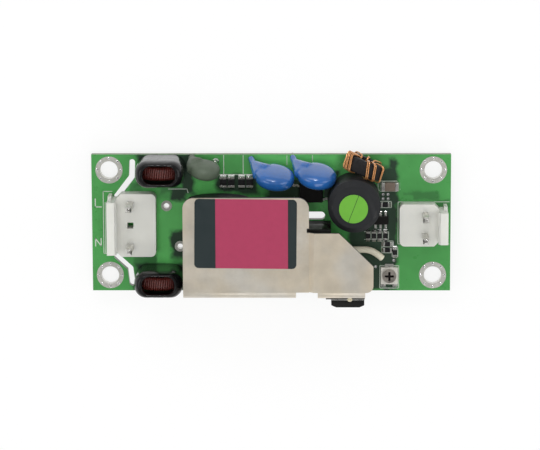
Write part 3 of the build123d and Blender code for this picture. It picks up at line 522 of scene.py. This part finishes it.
def sticker_finish():
    """A green round sticker crossed by one thin dark line."""
    finish = Finish("green_sticker", Specular_IOR_Level=0.4)
    tree = finish.tree
    low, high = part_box("output_capacitor_sticker")
    turned = mapped(tree, object_place(tree), "TEXTURE", Location=(low + high) / 2,
                    Rotation=(0, 0, math.radians(69)))
    line = math_node(tree, "LESS_THAN", math_node(tree, "ABSOLUTE", axes(tree, turned)["Y"]), 0.05 * MM)
    finish.colour(mix_colours(tree, line, rgb(0.145, 0.43, 0.04), rgb(0.02, 0.05, 0.015)), 900.0, 0.08)
    finish.roughness(0.38, 0.52, 900.0)
    return finish.grain(3000.0, 0.1, 0.02).material


def label_finish():
    """A film label: a magenta field between two dark bands."""
    finish = Finish("printed_label", Coat_Weight=0.2, Coat_Roughness=0.25, Specular_IOR_Level=0.4)
    tree = finish.tree
    magenta = finish.field(-10.0, 3.26, -8.0, 8.0)
    finish.colour(mix_colours(tree, magenta, rgb(0.013, 0.023, 0.025), rgb(0.39, 0.036, 0.097)), 900.0, 0.07)
    finish.roughness(0.36, 0.5, 600.0)
    return finish.grain(2600.0, 0.08, 0.02).material


ROTOR_SLOT_FLOOR = (22.15, -10.0, 3.0)
ROTOR_SLOT_REACH = 0.88


def rotor_finish():
    """Bright metal whose cross slot is painted near black as shade."""
    finish = Finish("trimmer_rotor", Metallic=1.0)
    tree = finish.tree
    place = axes(tree, mapped(tree, object_place(tree), Location=[-c * MM for c in ROTOR_SLOT_FLOOR]))
    away = math_node(tree, "MAXIMUM", math_node(tree, "ABSOLUTE", place["X"]),
                     math_node(tree, "ABSOLUTE", place["Y"]))
    # Painted shade: the cross slot below the rotor's top is coloured near black
    slot = math_node(tree, "MULTIPLY", math_node(tree, "LESS_THAN", place["Z"], 0.0),
                     math_node(tree, "LESS_THAN", away, ROTOR_SLOT_REACH * MM))
    finish.colour(mix_colours(tree, slot, rgb(0.5, 0.46, 0.41), rgb(0.02, 0.017, 0.016)), 1500.0, 0.5)
    finish.roughness(0.25, 0.45, 1400.0)
    return finish.grain(1800.0, 0.2, 0.03).material


def plain_finish(name, colour, mottle, roughness, grain, **constants):
    """One colour, with the scale and amount of its mottling, the low, high and scale of its roughness and the
    scale, strength and depth of its grain."""
    finish = Finish(name, **constants)
    return finish.colour(colour, *mottle).roughness(*roughness).grain(*grain).material


GREEN_BOARD = board_finish()
TIN = tin_finish()
TINNED_SHEET = sheet_finish()
SLEEVE = sleeve_finish()
STICKER = sticker_finish()
LABEL = label_finish()
ROTOR_METAL = rotor_finish()
NYLON = plain_finish(
    "white_nylon", rgb(0.74, 0.74, 0.69), (420.0, 0.05), (0.34, 0.5, 900.0), (3800.0, 0.12, 0.03),
    Subsurface_Weight=0.25, Subsurface_Radius=(1.0, 0.95, 0.85), Subsurface_Scale=0.0012, Specular_IOR_Level=0.45)
SOLDER = plain_finish(
    "solder", rgb(0.74, 0.74, 0.73), (1700.0, 0.12), (0.14, 0.32, 1500.0), (1900.0, 0.2, 0.03), Metallic=1.0)
PLATING = plain_finish(
    "levelled_tin", rgb(0.64, 0.635, 0.585), (1300.0, 0.16), (0.42, 0.6, 1100.0), (1500.0, 0.25, 0.03),
    Metallic=0.8)
RED_ENAMEL = plain_finish(
    "red_enamel_wire", rgb(0.115, 0.022, 0.017), (900.0, 0.3), (0.22, 0.36, 1000.0), (2400.0, 0.08, 0.02),
    Coat_Weight=0.7, Coat_Roughness=0.1)
COPPER = plain_finish(
    "copper_wire", rgb(0.70, 0.32, 0.115), (700.0, 0.35), (0.2, 0.36, 1000.0), (2200.0, 0.06, 0.02),
    Metallic=0.6, Coat_Weight=0.6, Coat_Roughness=0.1)
GREY_DIP = plain_finish(
    "grey_dip", rgb(0.108, 0.14, 0.098), (520.0, 0.25), (0.42, 0.62, 600.0), (1500.0, 0.22, 0.05),
    Specular_IOR_Level=0.4)
BLUE_DIP = plain_finish(
    "blue_dip", rgb(0.02, 0.125, 0.41), (300.0, 0.2), (0.14, 0.24, 500.0), (420.0, 0.28, 0.15),
    Coat_Weight=0.8, Coat_Roughness=0.05, Specular_IOR_Level=0.5)
CHIP_CERAMIC = plain_finish(
    "brown_ceramic", rgb(0.165, 0.125, 0.095), (800.0, 0.14), (0.3, 0.45, 800.0), (2600.0, 0.12, 0.03))
WHITE_CERAMIC = plain_finish(
    "white_ceramic", rgb(0.66, 0.64, 0.58), (800.0, 0.1), (0.4, 0.55, 800.0), (2600.0, 0.12, 0.03))
CREAM_SLEEVE = plain_finish(
    "cream_sleeve", rgb(0.85, 0.80, 0.63), (800.0, 0.1), (0.42, 0.6, 800.0), (1700.0, 0.2, 0.03))
WHITE_PRINT = plain_finish(
    "white_print", rgb(0.55, 0.62, 0.53), (800.0, 0.2), (0.6, 0.8, 800.0), (2600.0, 0.12, 0.03))
CREAM_GLUE = plain_finish(
    "cream_glue", rgb(0.62, 0.56, 0.40), (800.0, 0.12), (0.3, 0.5, 800.0), (2600.0, 0.12, 0.03))
CAN_BLACK = black_finish("black_can", rgb(0.02, 0.021, 0.023), 0.5, 0.68, 2400.0, 0.25)
BOBBIN_BLACK = black_finish("black_bobbin", rgb(0.008, 0.008, 0.007), 0.5, 0.65, 3200.0, 0.2, 0.08)
PACKAGE_BLACK = black_finish("black_package", rgb(0.009, 0.0086, 0.008), 0.42, 0.6, 4200.0, 0.3, 0.12)
CHIP_BLACK = black_finish("black_chip", rgb(0.012, 0.012, 0.013), 0.2, 0.36, 3000.0, 0.08)
FERRITE = black_finish("dark_ferrite", rgb(0.012, 0.0108, 0.0115), 0.4, 0.62, 1800.0, 0.35, 0.12)
PAD_BLACK = black_finish("insulating_pad", rgb(0.018, 0.018, 0.018), 0.6, 0.75, 3500.0, 0.2)
WINDING_TAPE = black_finish("winding_tape", rgb(0.012, 0.011, 0.009), 0.35, 0.5, 2600.0, 0.15, 0.12)

CAD_FINISHES = {
    GREEN_BOARD: ["circuit_board"],
    NYLON: ["mains_header_housing", "output_header_housing"],
    TIN: ["mains_header_pins", "output_header_pins", "inrush_thermistor_leads", "left_safety_capacitor_leads",
          "right_safety_capacitor_leads", "rectifier_leads", "transformer_pins", "bulk_capacitor_leads",
          "optocoupler_leads", "primary_chip_caps", "secondary_chip_caps", "filter_capacitor_caps",
          "regulator_leads", "trimmer_terminals", "bridge_leads", "controller_leads", "fuse_caps"],
    SLEEVE: ["north_choke_sleeve", "south_choke_sleeve"],
    RED_ENAMEL: ["north_choke_winding", "south_choke_winding"],
    GREY_DIP: ["inrush_thermistor"],
    BLUE_DIP: ["left_safety_capacitor", "right_safety_capacitor"],
    FERRITE: ["ring_choke_core", "transformer_core_lower", "transformer_core_upper"],
    COPPER: ["ring_choke_winding"],
    CAN_BLACK: ["output_capacitor", "bulk_capacitor"],
    STICKER: ["output_capacitor_sticker"],
    TINNED_SHEET: ["heat_spreader"],
    LABEL: ["spreader_label"],
    PAD_BLACK: ["rectifier_pad"],
    PACKAGE_BLACK: ["rectifier_body", "optocoupler", "regulator_body", "bridge_body", "controller_body"],
    BOBBIN_BLACK: ["transformer_bobbin"],
    ROTOR_METAL: ["trimmer_rotor"],
    WINDING_TAPE: ["transformer_coil"],
    CHIP_BLACK: ["primary_chip_bodies", "secondary_chip_bodies"],
    CHIP_CERAMIC: ["filter_capacitor_body", "fuse_body"],
    WHITE_CERAMIC: ["trimmer_base"],
    CREAM_SLEEVE: ["transformer_lead"],
}
for material, names in CAD_FINISHES.items():
    for name in names:
        cad[name].data.materials.clear()
        cad[name].data.materials.append(material)


BROKEN_EDGES = {
    "heat_spreader": 0.26, "mains_header_housing": 0.2, "output_header_housing": 0.2, "mains_header_pins": 0.08,
    "output_header_pins": 0.08, "output_capacitor": 0.18, "ring_choke_core": 0.35, "rectifier_body": 0.12,
    "optocoupler": 0.1, "regulator_body": 0.06, "primary_chip_bodies": 0.05, "primary_chip_caps": 0.06,
    "secondary_chip_bodies": 0.04, "secondary_chip_caps": 0.05, "filter_capacitor_body": 0.08,
    "filter_capacitor_caps": 0.09, "trimmer_base": 0.08, "trimmer_rotor": 0.05, "trimmer_terminals": 0.04,
    "transformer_core_lower": 0.15, "transformer_core_upper": 0.15, "transformer_bobbin": 0.1, "bridge_body": 0.08,
    "controller_body": 0.08, "fuse_body": 0.08, "fuse_caps": 0.1, "bulk_capacitor": 0.6, "transformer_coil": 0.12,
}


def soften(name, width):
    """Breaks the sharp edges of a CAD piece with small rounded bevels."""
    weld = cad[name].modifiers.new("joined", "WELD")
    weld.merge_threshold = 0.0005 * MM
    bevel = cad[name].modifiers.new("broken_edges", "BEVEL")
    bevel.width = width * MM
    bevel.segments = 2
    bevel.limit_method = "ANGLE"
    bevel.angle_limit = math.radians(38)
    bevel.harden_normals = True


for name, width in BROKEN_EDGES.items():
    soften(name, width)


# Board trim: plated rings, pads, print and solder

MOUNTING_HOLES = [(sx * 30.3, sy * 10.0) for sx in (-1, 1) for sy in (1, -1)]
OPEN_PADS = [(-19.6, 3.2), (-17.1, -4.5)]
SMALL_VIAS = [(20.95, 5.37), (21.88, 5.37), (20.95, 4.54), (21.89, 4.54), (18.9, 5.0), (23.0, -7.2), (19.6, -8.4),
              (12.2, 7.2), (-27.4, 1.6), (-27.4, -1.6)]


def plated_holes():
    """Plated rings on both faces of the board, and the barrels between them."""
    rings = Shape()
    barrels = Shape()
    for places, bore, rim, wall, thickness, segments in (
        (MOUNTING_HOLES, 1.66, 2.55, 1.7, 0.045, 64),
        (OPEN_PADS, 0.52, 1.02, 0.55, 0.06, 48),
    ):
        for x, y in places:
            rings.washer(x, y, bore, rim, TOP, TOP + thickness, segments)
            rings.washer(x, y, bore, rim, -thickness, 0.0, segments)
            barrels.washer(x, y, bore, wall, 0.0, TOP, segments)
    piece("plated_barrels", barrels, TIN)
    piece("plated_rings", rings, PLATING)


def ring_vias():
    """Eight small filled holes round each mounting hole."""
    shape = Shape()
    dome = [(0.24, 0.0), (0.23, 0.05), (0.15, 0.09), (0.05, 0.1)]
    distance = 2.2
    for x, y in MOUNTING_HOLES:
        for i in range(8):
            turn = math.pi / 4 * i
            place = (x + distance * math.cos(turn), y + distance * math.sin(turn), TOP + 0.02)
            shape.turned(dome, place, UP, 14)
    piece("ring_vias", shape, SOLDER)


def small_vias():
    """Open vias beside the chips and the mains header."""
    shape = Shape()
    dish = [(0.3, 0.0), (0.28, 0.03), (0.16, 0.04), (0.1, 0.015)]
    for x, y in SMALL_VIAS:
        shape.turned(dish, (x, y, TOP), UP, 16)
    piece("small_vias", shape, SOLDER)


def board_print():
    """Pale printed outlines round the parts, and the marks of the two mains terminals."""
    shape = Shape()
    low, high = TOP, TOP + 0.02
    thin = 0.13
    outlines = [
        [(-29.8, 5.95), (-31.45, 5.95), (-31.45, -5.9), (-30.4, -5.9)],
        [(-31.1, 3.85), (-31.1, -5.9)],
        [(-19.2, 6.4), (-15.75, 6.4), (-15.55, 5.7)],
        [(-8.84, 12.75), (-8.84, 9.15)],
        [(-5.2, 12.75), (-5.2, 9.15)],
        [(-9.65, 9.15), (-3.0, 9.15)],
        [(2.97, 12.7), (2.97, 11.0)],
        [(7.75, 12.7), (7.75, 11.7)],
        [(33.3, 3.95), (23.75, 3.95), (23.75, -4.05), (24.4, -4.05)],
        [(33.0, -4.05), (33.3, -4.05)],
        [(20.35, 7.88), (23.45, 7.88), (23.78, 7.55), (23.78, 6.3), (23.45, 5.98), (20.35, 5.98), (20.02, 6.3),
         (20.02, 7.55), (20.35, 7.88)],
        [(17.5, -1.72), (22.0, -1.72), (22.0, -3.2), (17.5, -3.2)],
        [(18.7, -1.72), (18.7, -3.2)], [(19.78, -1.72), (19.78, -3.2)], [(20.85, -1.72), (20.85, -3.2)],
        [(20.75, -3.5), (22.85, -3.5), (22.85, -5.75), (20.75, -5.75), (20.75, -3.5)],
        [(20.75, -4.62), (22.85, -4.62)],
        [(22.7, -4.68), (23.75, -4.68), (23.75, -6.55), (22.7, -6.55), (22.7, -4.68)],
        [(20.4, -8.2), (23.95, -8.2), (23.95, -12.5), (20.4, -12.5), (20.4, -8.2)],
        [(20.2, 4.05), (22.5, 4.05), (22.5, 2.85), (20.2, 2.85)],
    ]
    for outline in outlines:
        shape.lines(outline, thin, low, high)
    letter = 0.2
    shape.lines([(-32.95, 4.5), (-32.95, 3.0), (-31.85, 3.0)], letter, low, high)
    shape.lines([(-33.0, -4.45), (-33.0, -3.05), (-31.95, -4.45), (-31.95, -3.05)], letter, low, high)
    piece("board_print", shape, WHITE_PRINT)


PRIMARY_CHIPS = [(x, 7.75, 0) for x in (-8.95, -7.45, -5.5, -4.0)]
SECONDARY_CHIPS = [(x, -2.45, 0) for x in (18.15, 19.25, 20.3, 21.4)] + [
    (23.2, -5.6, 0), (21.8, -4.05, 90), (21.8, -5.2, 90), (21.35, 3.45, 90)]
FILTER_CAPACITOR = (22.2, 6.95, 90)
REGULATOR_LEADS = [(x, 0.55 + side * 1.42, (0, side)) for x in (19.55, 20.5, 21.45) for side in (-1, 1)]
OPTOCOUPLER_LEADS = [(7.5 + sx * 3.1, 5.85 + sy * 1.27, (sx, 0)) for sx in (-1, 1) for sy in (-1, 1)]


def chip_solder():
    """Solder that rises against the ends of the chips and the feet of the small leads."""
    shape = Shape()
    chips = [(place, 1.25, 2.0, 0.36) for place in PRIMARY_CHIPS]
    chips += [(place, 0.8, 1.6, 0.3) for place in SECONDARY_CHIPS]
    chips += [(FILTER_CAPACITOR, 1.6, 3.2, 0.7)]
    for (x, y, turn), width, length, height in chips:
        for side in (-1, 1):
            way = (0, side) if turn == 0 else (side, 0)
            foot = (x + way[0] * length / 2, y + way[1] * length / 2)
            shape.wedge(*foot, way, width * 0.95, 0.34, height)
    for lead in REGULATOR_LEADS:
        shape.wedge(*lead, 0.5, 0.22, 0.16)
    for lead in OPTOCOUPLER_LEADS:
        shape.wedge(*lead, 0.6, 0.3, 0.2)
    piece("chip_solder", shape, SOLDER)


HEADER_PINS = [(-26.2, 4.01), (-26.2, -3.91), (28.7, 2.03), (28.7, -1.93)]
TRANSFORMER_PINS = [(5.4 + 2.5 * (i - 1.5), -5.1 + side * 4.65) for side in (1, -1) for i in range(4)]
THERMISTOR_FEET = [(-14.75, 12.4), (-10.35, 11.6)]
CAP_FEET = [(-3.77, 12.25), (3.78, 8.9), (4.0, 12.5), (11.55, 9.15)]
HIDDEN_FEET = [(-23.4, 10.35), (-17.6, 10.35), (-23.75, -10.35), (-17.95, -10.35), (13.2, 4.72), (17.6, 4.72),
               (-12.1, -10.2), (-7.1, -10.2), (15.2, 12.3), (19.4, 10.4), (21.0, -6.8)]
ROUND_FEET = THERMISTOR_FEET + CAP_FEET + HIDDEN_FEET
TAB_FEET = [(-13.0, -11.5), (1.8, -11.5)]
RECTIFIER_FEET = [(11.95, -11.2), (16.55, -11.2)]


def lead_solder():
    """Solder round the thermistor's bare lead on the component side."""
    shape = Shape()
    collar = [(0.62, 0.0), (0.5, 0.1), (0.4, 0.24), (0.34, 0.42)]
    x, y = THERMISTOR_FEET[1]
    shape.turned(collar, (x, y, TOP), UP, 20)
    piece("lead_solder", shape, SOLDER)


def solder_side():
    """Solder cones and cut lead ends under the board."""
    joints = Shape()

    def joint(x, y, wide, tall, sides):
        cone = [(1.0, 0.0), (0.96, 0.12), (0.72, 0.42), (0.5, 0.8), (0.38, 1.15)]
        joints.turned([(max(0.3, wide * r), tall * h) for r, h in cone], (x, y, 0), -UP, sides)

    for x, y in HEADER_PINS:
        joint(x, y, 1.35, 1.2, 24)
    for x, y in TRANSFORMER_PINS:
        joint(x, y, 1.0, 1.0, 22)
    for x, y in ROUND_FEET:
        room = max(0.5, min(1.0, BOARD_SIDE - abs(y)))
        joint(x, y, room, 1.0, 20)
    for x, y in TAB_FEET + RECTIFIER_FEET:
        joint(x, y, 1.25, 1.0, 22)
    piece("solder_joints", joints, SOLDER)
    tails = Shape()
    for x, y in ROUND_FEET:
        tails.turned([(0.3, 0.0), (0.3, 1.52), (0.24, 1.6)], (x, y, 0), -UP, 14)
    piece("lead_tails", tails, TIN)


plated_holes()
ring_vias()
small_vias()
board_print()
chip_solder()
lead_solder()
solder_side()


# Sleeved line chokes

CHOKES = [("north", (-20.5, 10.35), 0.4), ("south", (-20.85, -10.35), 2.1)]
CHOKE_RING_CENTRE = TOP + 3.75
CHOKE_TURNS = 50
CHOKE_WIRE_RADIUS = 0.19

# Heights above the board, and how far the sleeve has drawn in from its outline to its window there
SLEEVE_SECTION = [
    (0.0, 0.0), (0.5, 0.0), (1.6, 0.0), (2.8, 0.0), (4.0, 0.0), (5.2, 0.0), (6.2, 0.0), (7.0, 0.02), (7.6, 0.08),
    (8.1, 0.19), (8.5, 0.34), (8.78, 0.52), (8.93, 0.7), (8.98, 0.84), (8.92, 0.95), (8.75, 1.01), (8.4, 1.03),
    (7.6, 1.0),
]


def choke_sleeve(side, centre, phase):
    """A shrink sleeve with shallow folds, whose top edge has drawn in over the winding."""
    outer = rounded_outline(4.6, 2.55, 2.2)
    window = rounded_outline(3.05, 1.7, 1.5)
    turn = np.arctan2(outer[:, 1], outer[:, 0])
    rows = []
    for z, share in SLEEVE_SECTION:
        ring = outer * (1 - share) + window * share
        ease = min(1.0, z / 2.0) * (1.0 - 0.5 * share)
        ripple = 0.035 * np.sin(7 * turn + 0.9 * z + phase) + 0.025 * np.sin(13 * turn - 1.7 * z + 2 * phase)
        ring = ring * (1 - ease * (0.012 + abs(ripple) / 4.0))[:, None]
        dip = abs(0.06 * share * np.sin(5 * turn + phase))
        rows.append(np.column_stack([ring[:, 0] + centre[0], ring[:, 1] + centre[1], TOP + z - dip]))
    shape = Shape()
    shape.skin(rows, caps=False)
    piece(f"{side}_choke_shrink", shape, SLEEVE, [f"{side}_choke_sleeve"], crease=80)


def choke_turns(side, centre):
    """A ring wound with enamelled wire, standing on edge."""
    shape = Shape()
    middle = np.array([centre[0], centre[1], CHOKE_RING_CENTRE])

    def place(turn, r, y):
        return middle + r * np.array([math.sin(turn), 0.0, math.cos(turn)]) + np.array([0.0, y, 0.0])

    core = section_loop(1.66, 3.38, 0.94, 0.3, 3)
    around = np.linspace(0, 2 * math.pi, 48, endpoint=False)
    shape.skin([[place(turn, r, y) for r, y in core] for turn in around], loop=True)
    section = section_loop(1.5, 3.54, 1.1, 0.45)
    for i in range(CHOKE_TURNS):
        turn = 2 * math.pi * (i + 0.5) / CHOKE_TURNS
        wobble = 0.03 * math.sin(3.1 * i)
        shape.tube([place(turn + 0.035 * y, r + wobble, y) for r, y in section], CHOKE_WIRE_RADIUS, 7,
                   loop=True)
    piece(f"{side}_choke_turns", shape, RED_ENAMEL, [f"{side}_choke_winding"], crease=80)


for side, centre, phase in CHOKES:
    choke_sleeve(side, centre, phase)
for side, centre, phase in CHOKES:
    choke_turns(side, centre)


# Dipped discs

DISC_TURN = -8.0
SKIN_VOXEL = 0.11
SKIN_SMOOTHING = 44


def leaning_axes(turn, lean):
    """Along a disc or ring that stands on edge, out of its face and up across it."""
    turn, lean = math.radians(turn), math.radians(lean)
    along = np.array([math.cos(turn), math.sin(turn), 0.0])
    level = np.array([math.sin(turn), -math.cos(turn), 0.0])
    face = level * math.cos(lean) - UP * math.sin(lean)
    return along, face, np.cross(face, along)


def lens_profile(radius, half, power, steps=26):
    """A plump disc's section, from one face to the other."""
    profile = []
    for i in range(steps + 1):
        t = -math.pi / 2 + math.pi * i / steps
        r = radius * abs(math.cos(t)) ** (2 / power)
        profile.append((max(r, 0.02), math.copysign(half * abs(math.sin(t)) ** (2 / power), t)))
    return profile


def dipped_drop(name, cad_name, material, centre, lean, disc, feet, roots, boot):
    """A plump dipped disc; its coating runs down the first lead and a little way down the second.

    The disc is its radius and half its thickness, feet are the leads' places on the board from the centre, roots
    their ends along and up in the disc, and boot the coating's radius at the foot and at the disc.
    """
    middle = np.array([centre[0], centre[1], TOP + centre[2]])
    along, face, up = leaning_axes(DISC_TURN, lean)
    radius, half = disc
    shape = Shape()
    shape.turned(lens_profile(radius, half, 2.8), middle, face, 64)
    foot = np.array([centre[0] + feet[0][0], centre[1] + feet[0][1], TOP])
    root = middle + along * roots[0][0] + up * roots[0][1]
    rim = middle - along * radius * 0.8 + up * 0.2
    tip, wide = boot
    path = [foot, foot * 0.7 + rim * 0.3, foot * 0.4 + rim * 0.6, foot * 0.1 + rim * 0.9, root]
    shape.tube(path, [tip * 1.12, tip * 1.2, tip * 1.7, wide * 0.88, wide], 20)
    shape.tube([path[1], path[2] * 0.5 + middle * 0.5, middle], [tip, wide * 0.75, wide], 20)
    shoulder = middle - along * radius * 0.42 - up * radius * 0.2 - face * half * 0.42
    neck = path[2] * 0.42 + shoulder * 0.58 - face * 0.2
    shape.tube([path[1], neck, shoulder], [tip * 1.25, wide * 0.85, wide * 0.95], 20)
    foot = np.array([centre[0] + feet[1][0], centre[1] + feet[1][1], TOP])
    root = middle + along * roots[1][0] + up * roots[1][1]
    path = [foot + (root - foot) * s for s in (0.25, 0.5, 0.95)]
    shape.tube(path, [0.38, 0.55, 0.9], 16)
    piece(name, melted(shape, SKIN_VOXEL, SKIN_SMOOTHING), material, [cad_name], crease=180)


dipped_drop(
    "thermistor_dip", "inrush_thermistor", GREY_DIP, (-12.2, 10.65, 4.2), 16.0, (2.85, 1.5),
    [(-2.55, 1.75), (1.85, 0.95)], [(-1.6, -0.5), (1.5, -1.0)], (0.66, 1.5))
for side, centre in (("left", (0.78, 9.4, 5.0)), ("right", (8.55, 9.65, 5.0))):
    dipped_drop(
        f"{side}_safety_cap_dip", f"{side}_safety_capacitor", BLUE_DIP, centre, 20.0, (3.7, 1.7),
        [(-4.55, 2.85), (3.0, -0.5)], [(-2.2, -0.3), (2.2, -1.5)], (0.56, 1.45))


# Ring choke of the output

RING_MIDDLE = np.array([17.3, 11.35, TOP + 4.18])
RING_TURN = -24.0
RING_HALF_DEPTH = 1.6
STRAND_RADIUS = 0.11
STRAND_LEAD_RADIUS = 0.2
WINDING_ANGLES = (-72.0, -59.0, -46.0, 9.0, 30.0, 62.0, 140.0, 180.0, 220.0)


def ring_choke_wires():
    """Pairs of copper strands wound round the ring, with a lead at each end."""
    across, axis, up = leaning_axes(RING_TURN, 0.0)
    section = section_loop(1.79, 3.95, RING_HALF_DEPTH, 0.5)
    shape = Shape()
    for angle in WINDING_ANGLES:
        for strand in (-2.4, 2.4):
            loop = []
            for r, y in section:
                a = math.radians(angle + strand + 7.0 * y / RING_HALF_DEPTH)
                loop.append(RING_MIDDLE + r * (math.sin(a) * across + math.cos(a) * up) + y * axis)
            shape.tube(loop, STRAND_RADIUS, 8, loop=True)
    for side in (-1, 1):
        start = RING_MIDDLE + 3.4 * side * across - 1.2 * up + 1.2 * axis * side
        foot = RING_MIDDLE + 2.3 * side * across
        foot[2] = TOP
        path = [start, start - up * 1.2, (start + foot) / 2 - up * 0.6, foot + up * 0.5, foot]
        shape.tube(path, STRAND_LEAD_RADIUS, 9)
    piece("ring_choke_wires", shape, COPPER, ["ring_choke_winding"], crease=80)


ring_choke_wires()


# Cream sleeved lead of the transformer, and glue

def sleeved_lead():
    """A soft sleeve that lies on the board in one bow and ends round."""
    shape = Shape()
    radius = 0.625
    bow = [Vector((17.4 + 3.0 * t, -5.0 - 1.3 * t * t)) for t in np.linspace(0, 1, 9)]
    flat = [Vector((13.4, -5.0)), Vector((15.4, -5.0))] + bow + [Vector((20.82, -6.66))]
    path = [(p.x, p.y, TOP + radius) for p in flat]
    end = Vector(path[-1])
    way = (end - Vector(path[-2])).normalized()
    path += [tuple(end + way * d) for d in (0.1, 0.17, 0.2)]
    shape.tube(path, [radius] * len(flat) + [radius * 0.86, radius * 0.55, radius * 0.12], 20)
    piece("sleeved_lead", shape, CREAM_SLEEVE, ["transformer_lead"], crease=80)


def glue_spot():
    """A drop of cream glue that was pressed out beside the rectifier's pad."""
    shape = Shape()
    shape.turned(lens_profile(0.5, 0.22, 2.2, 12), (14.6, -12.15, TOP + 12.0), (0, 0.3, 1), 20)
    piece("glue_spot", melted(shape, 0.06, 4), CREAM_GLUE, crease=180)


sleeved_lead()
glue_spot()


# Floor, light and camera

def floor_finish():
    """White to the eye and in reflections, with part of the light kept as a soft shadow; clear from below."""
    finish = Finish("studio_floor", Roughness=0.9, Specular_IOR_Level=0.0, Emission_Strength=1.0)
    tree = finish.tree
    path = node(tree, "ShaderNodeLightPath")
    seen = math_node(tree, "MAXIMUM", path.outputs["Is Camera Ray"], path.outputs["Is Glossy Ray"])
    seen = math_node(tree, "MAXIMUM", seen, path.outputs["Is Transmission Ray"])
    glow = mix_colours(tree, seen, rgb(0, 0, 0), rgb(0.8, 0.8, 0.8))
    base = mix_colours(tree, seen, rgb(0.85, 0.85, 0.85), rgb(0.2, 0.2, 0.2))
    tree.links.new(glow, finish.shader.inputs["Emission Color"])
    tree.links.new(base, finish.shader.inputs["Base Color"])
    behind = node(tree, "ShaderNodeNewGeometry").outputs["Backfacing"]
    tree.links.new(math_node(tree, "SUBTRACT", 1.0, behind), finish.shader.inputs["Alpha"])
    return finish.material


def studio():
    """A wide floor, and a white world that lights the part like a tent, darker overhead."""
    reach, z = 3.0, FLOOR * MM
    corners = [(-reach, -reach, z), (reach, -reach, z), (reach, reach, z), (-reach, reach, z)]
    mesh = bpy.data.meshes.new("studio_floor")
    mesh.from_pydata(corners, [], [(0, 1, 2, 3)])
    mesh.materials.append(floor_finish())
    floor = bpy.data.objects.new("studio_floor", mesh)
    bpy.context.scene.collection.objects.link(floor)

    world = bpy.data.worlds.new("studio")
    bpy.context.scene.world = world
    world.use_nodes = True
    tree = world.node_tree
    back = tree.nodes["Background"]
    back.inputs["Color"].default_value = (1, 1, 1, 1)
    height = axes(tree, node(tree, "ShaderNodeTexCoord").outputs["Generated"])["Z"]
    tent = map_range(tree, height, 0.5, 0.97, 0.5, 0.2)
    seen = node(tree, "ShaderNodeLightPath").outputs["Is Camera Ray"]
    tree.links.new(math_node(tree, "MAXIMUM", seen, tent), back.inputs["Strength"])


def softbox(name, place, size, power, glare=True, fill=True):
    """A soft light aimed at the part, which may be kept out of reflections or be seen in reflections only."""
    light = bpy.data.lights.new(name, "AREA")
    light.shape = "RECTANGLE"
    light.size, light.size_y = size
    light.energy = power
    obj = bpy.data.objects.new(name, light)
    obj.location = place
    obj.rotation_euler = (-Vector(place)).to_track_quat("-Z", "Y").to_euler()
    obj.visible_glossy = glare
    obj.visible_diffuse = fill
    bpy.context.scene.collection.objects.link(obj)


# The photo's camera, as fitted: width and focal length in pixels, angles in radians, place in millimetres
PHOTO_WIDTH = 540.0
PHOTO_FOCAL = 2736.5
SENSOR_WIDTH = 36.0
TILT_EAST, TILT_NORTH, ROLL = 0.01593, 0.17971, 0.0029
CAMERA_PLACE = (7.82, 91.24, 506.3)


def camera():
    """Nearly straight above the part, a little to its north."""
    lens = bpy.data.cameras.new("photo_camera")
    lens.sensor_fit = "HORIZONTAL"
    lens.sensor_width = SENSOR_WIDTH
    lens.lens = PHOTO_FOCAL * SENSOR_WIDTH / PHOTO_WIDTH
    lens.clip_start = 0.01
    obj = bpy.data.objects.new("photo_camera", lens)
    back = Vector((math.tan(TILT_EAST), math.tan(TILT_NORTH), 1.0)).normalized()
    right = Vector((math.sin(ROLL), math.cos(ROLL), 0.0)).cross(back).normalized()
    up = back.cross(right)
    obj.matrix_world = Matrix((right, up, back)).transposed().to_4x4()
    obj.location = [c * MM for c in CAMERA_PLACE]
    bpy.context.scene.collection.objects.link(obj)
    bpy.context.scene.camera = obj


bpy.context.scene.view_settings.view_transform = "Standard"
studio()
softbox("overhead", (0.0, 0.02, 0.8), (0.5, 0.4), 2.2, glare=False)
softbox("streak", (0.0, 0.4, 0.58), (0.16, 0.035), 0.9, fill=False)
softbox("north_light", (-0.12, 0.46, 0.42), (0.5, 0.25), 0.7)
softbox("south_light", (0.1, -0.4, 0.5), (0.6, 0.3), 0.7)
softbox("west_light", (-0.5, 0.0, 0.45), (0.3, 0.4), 0.5)
softbox("east_light", (0.5, 0.05, 0.4), (0.3, 0.4), 0.45)
camera()
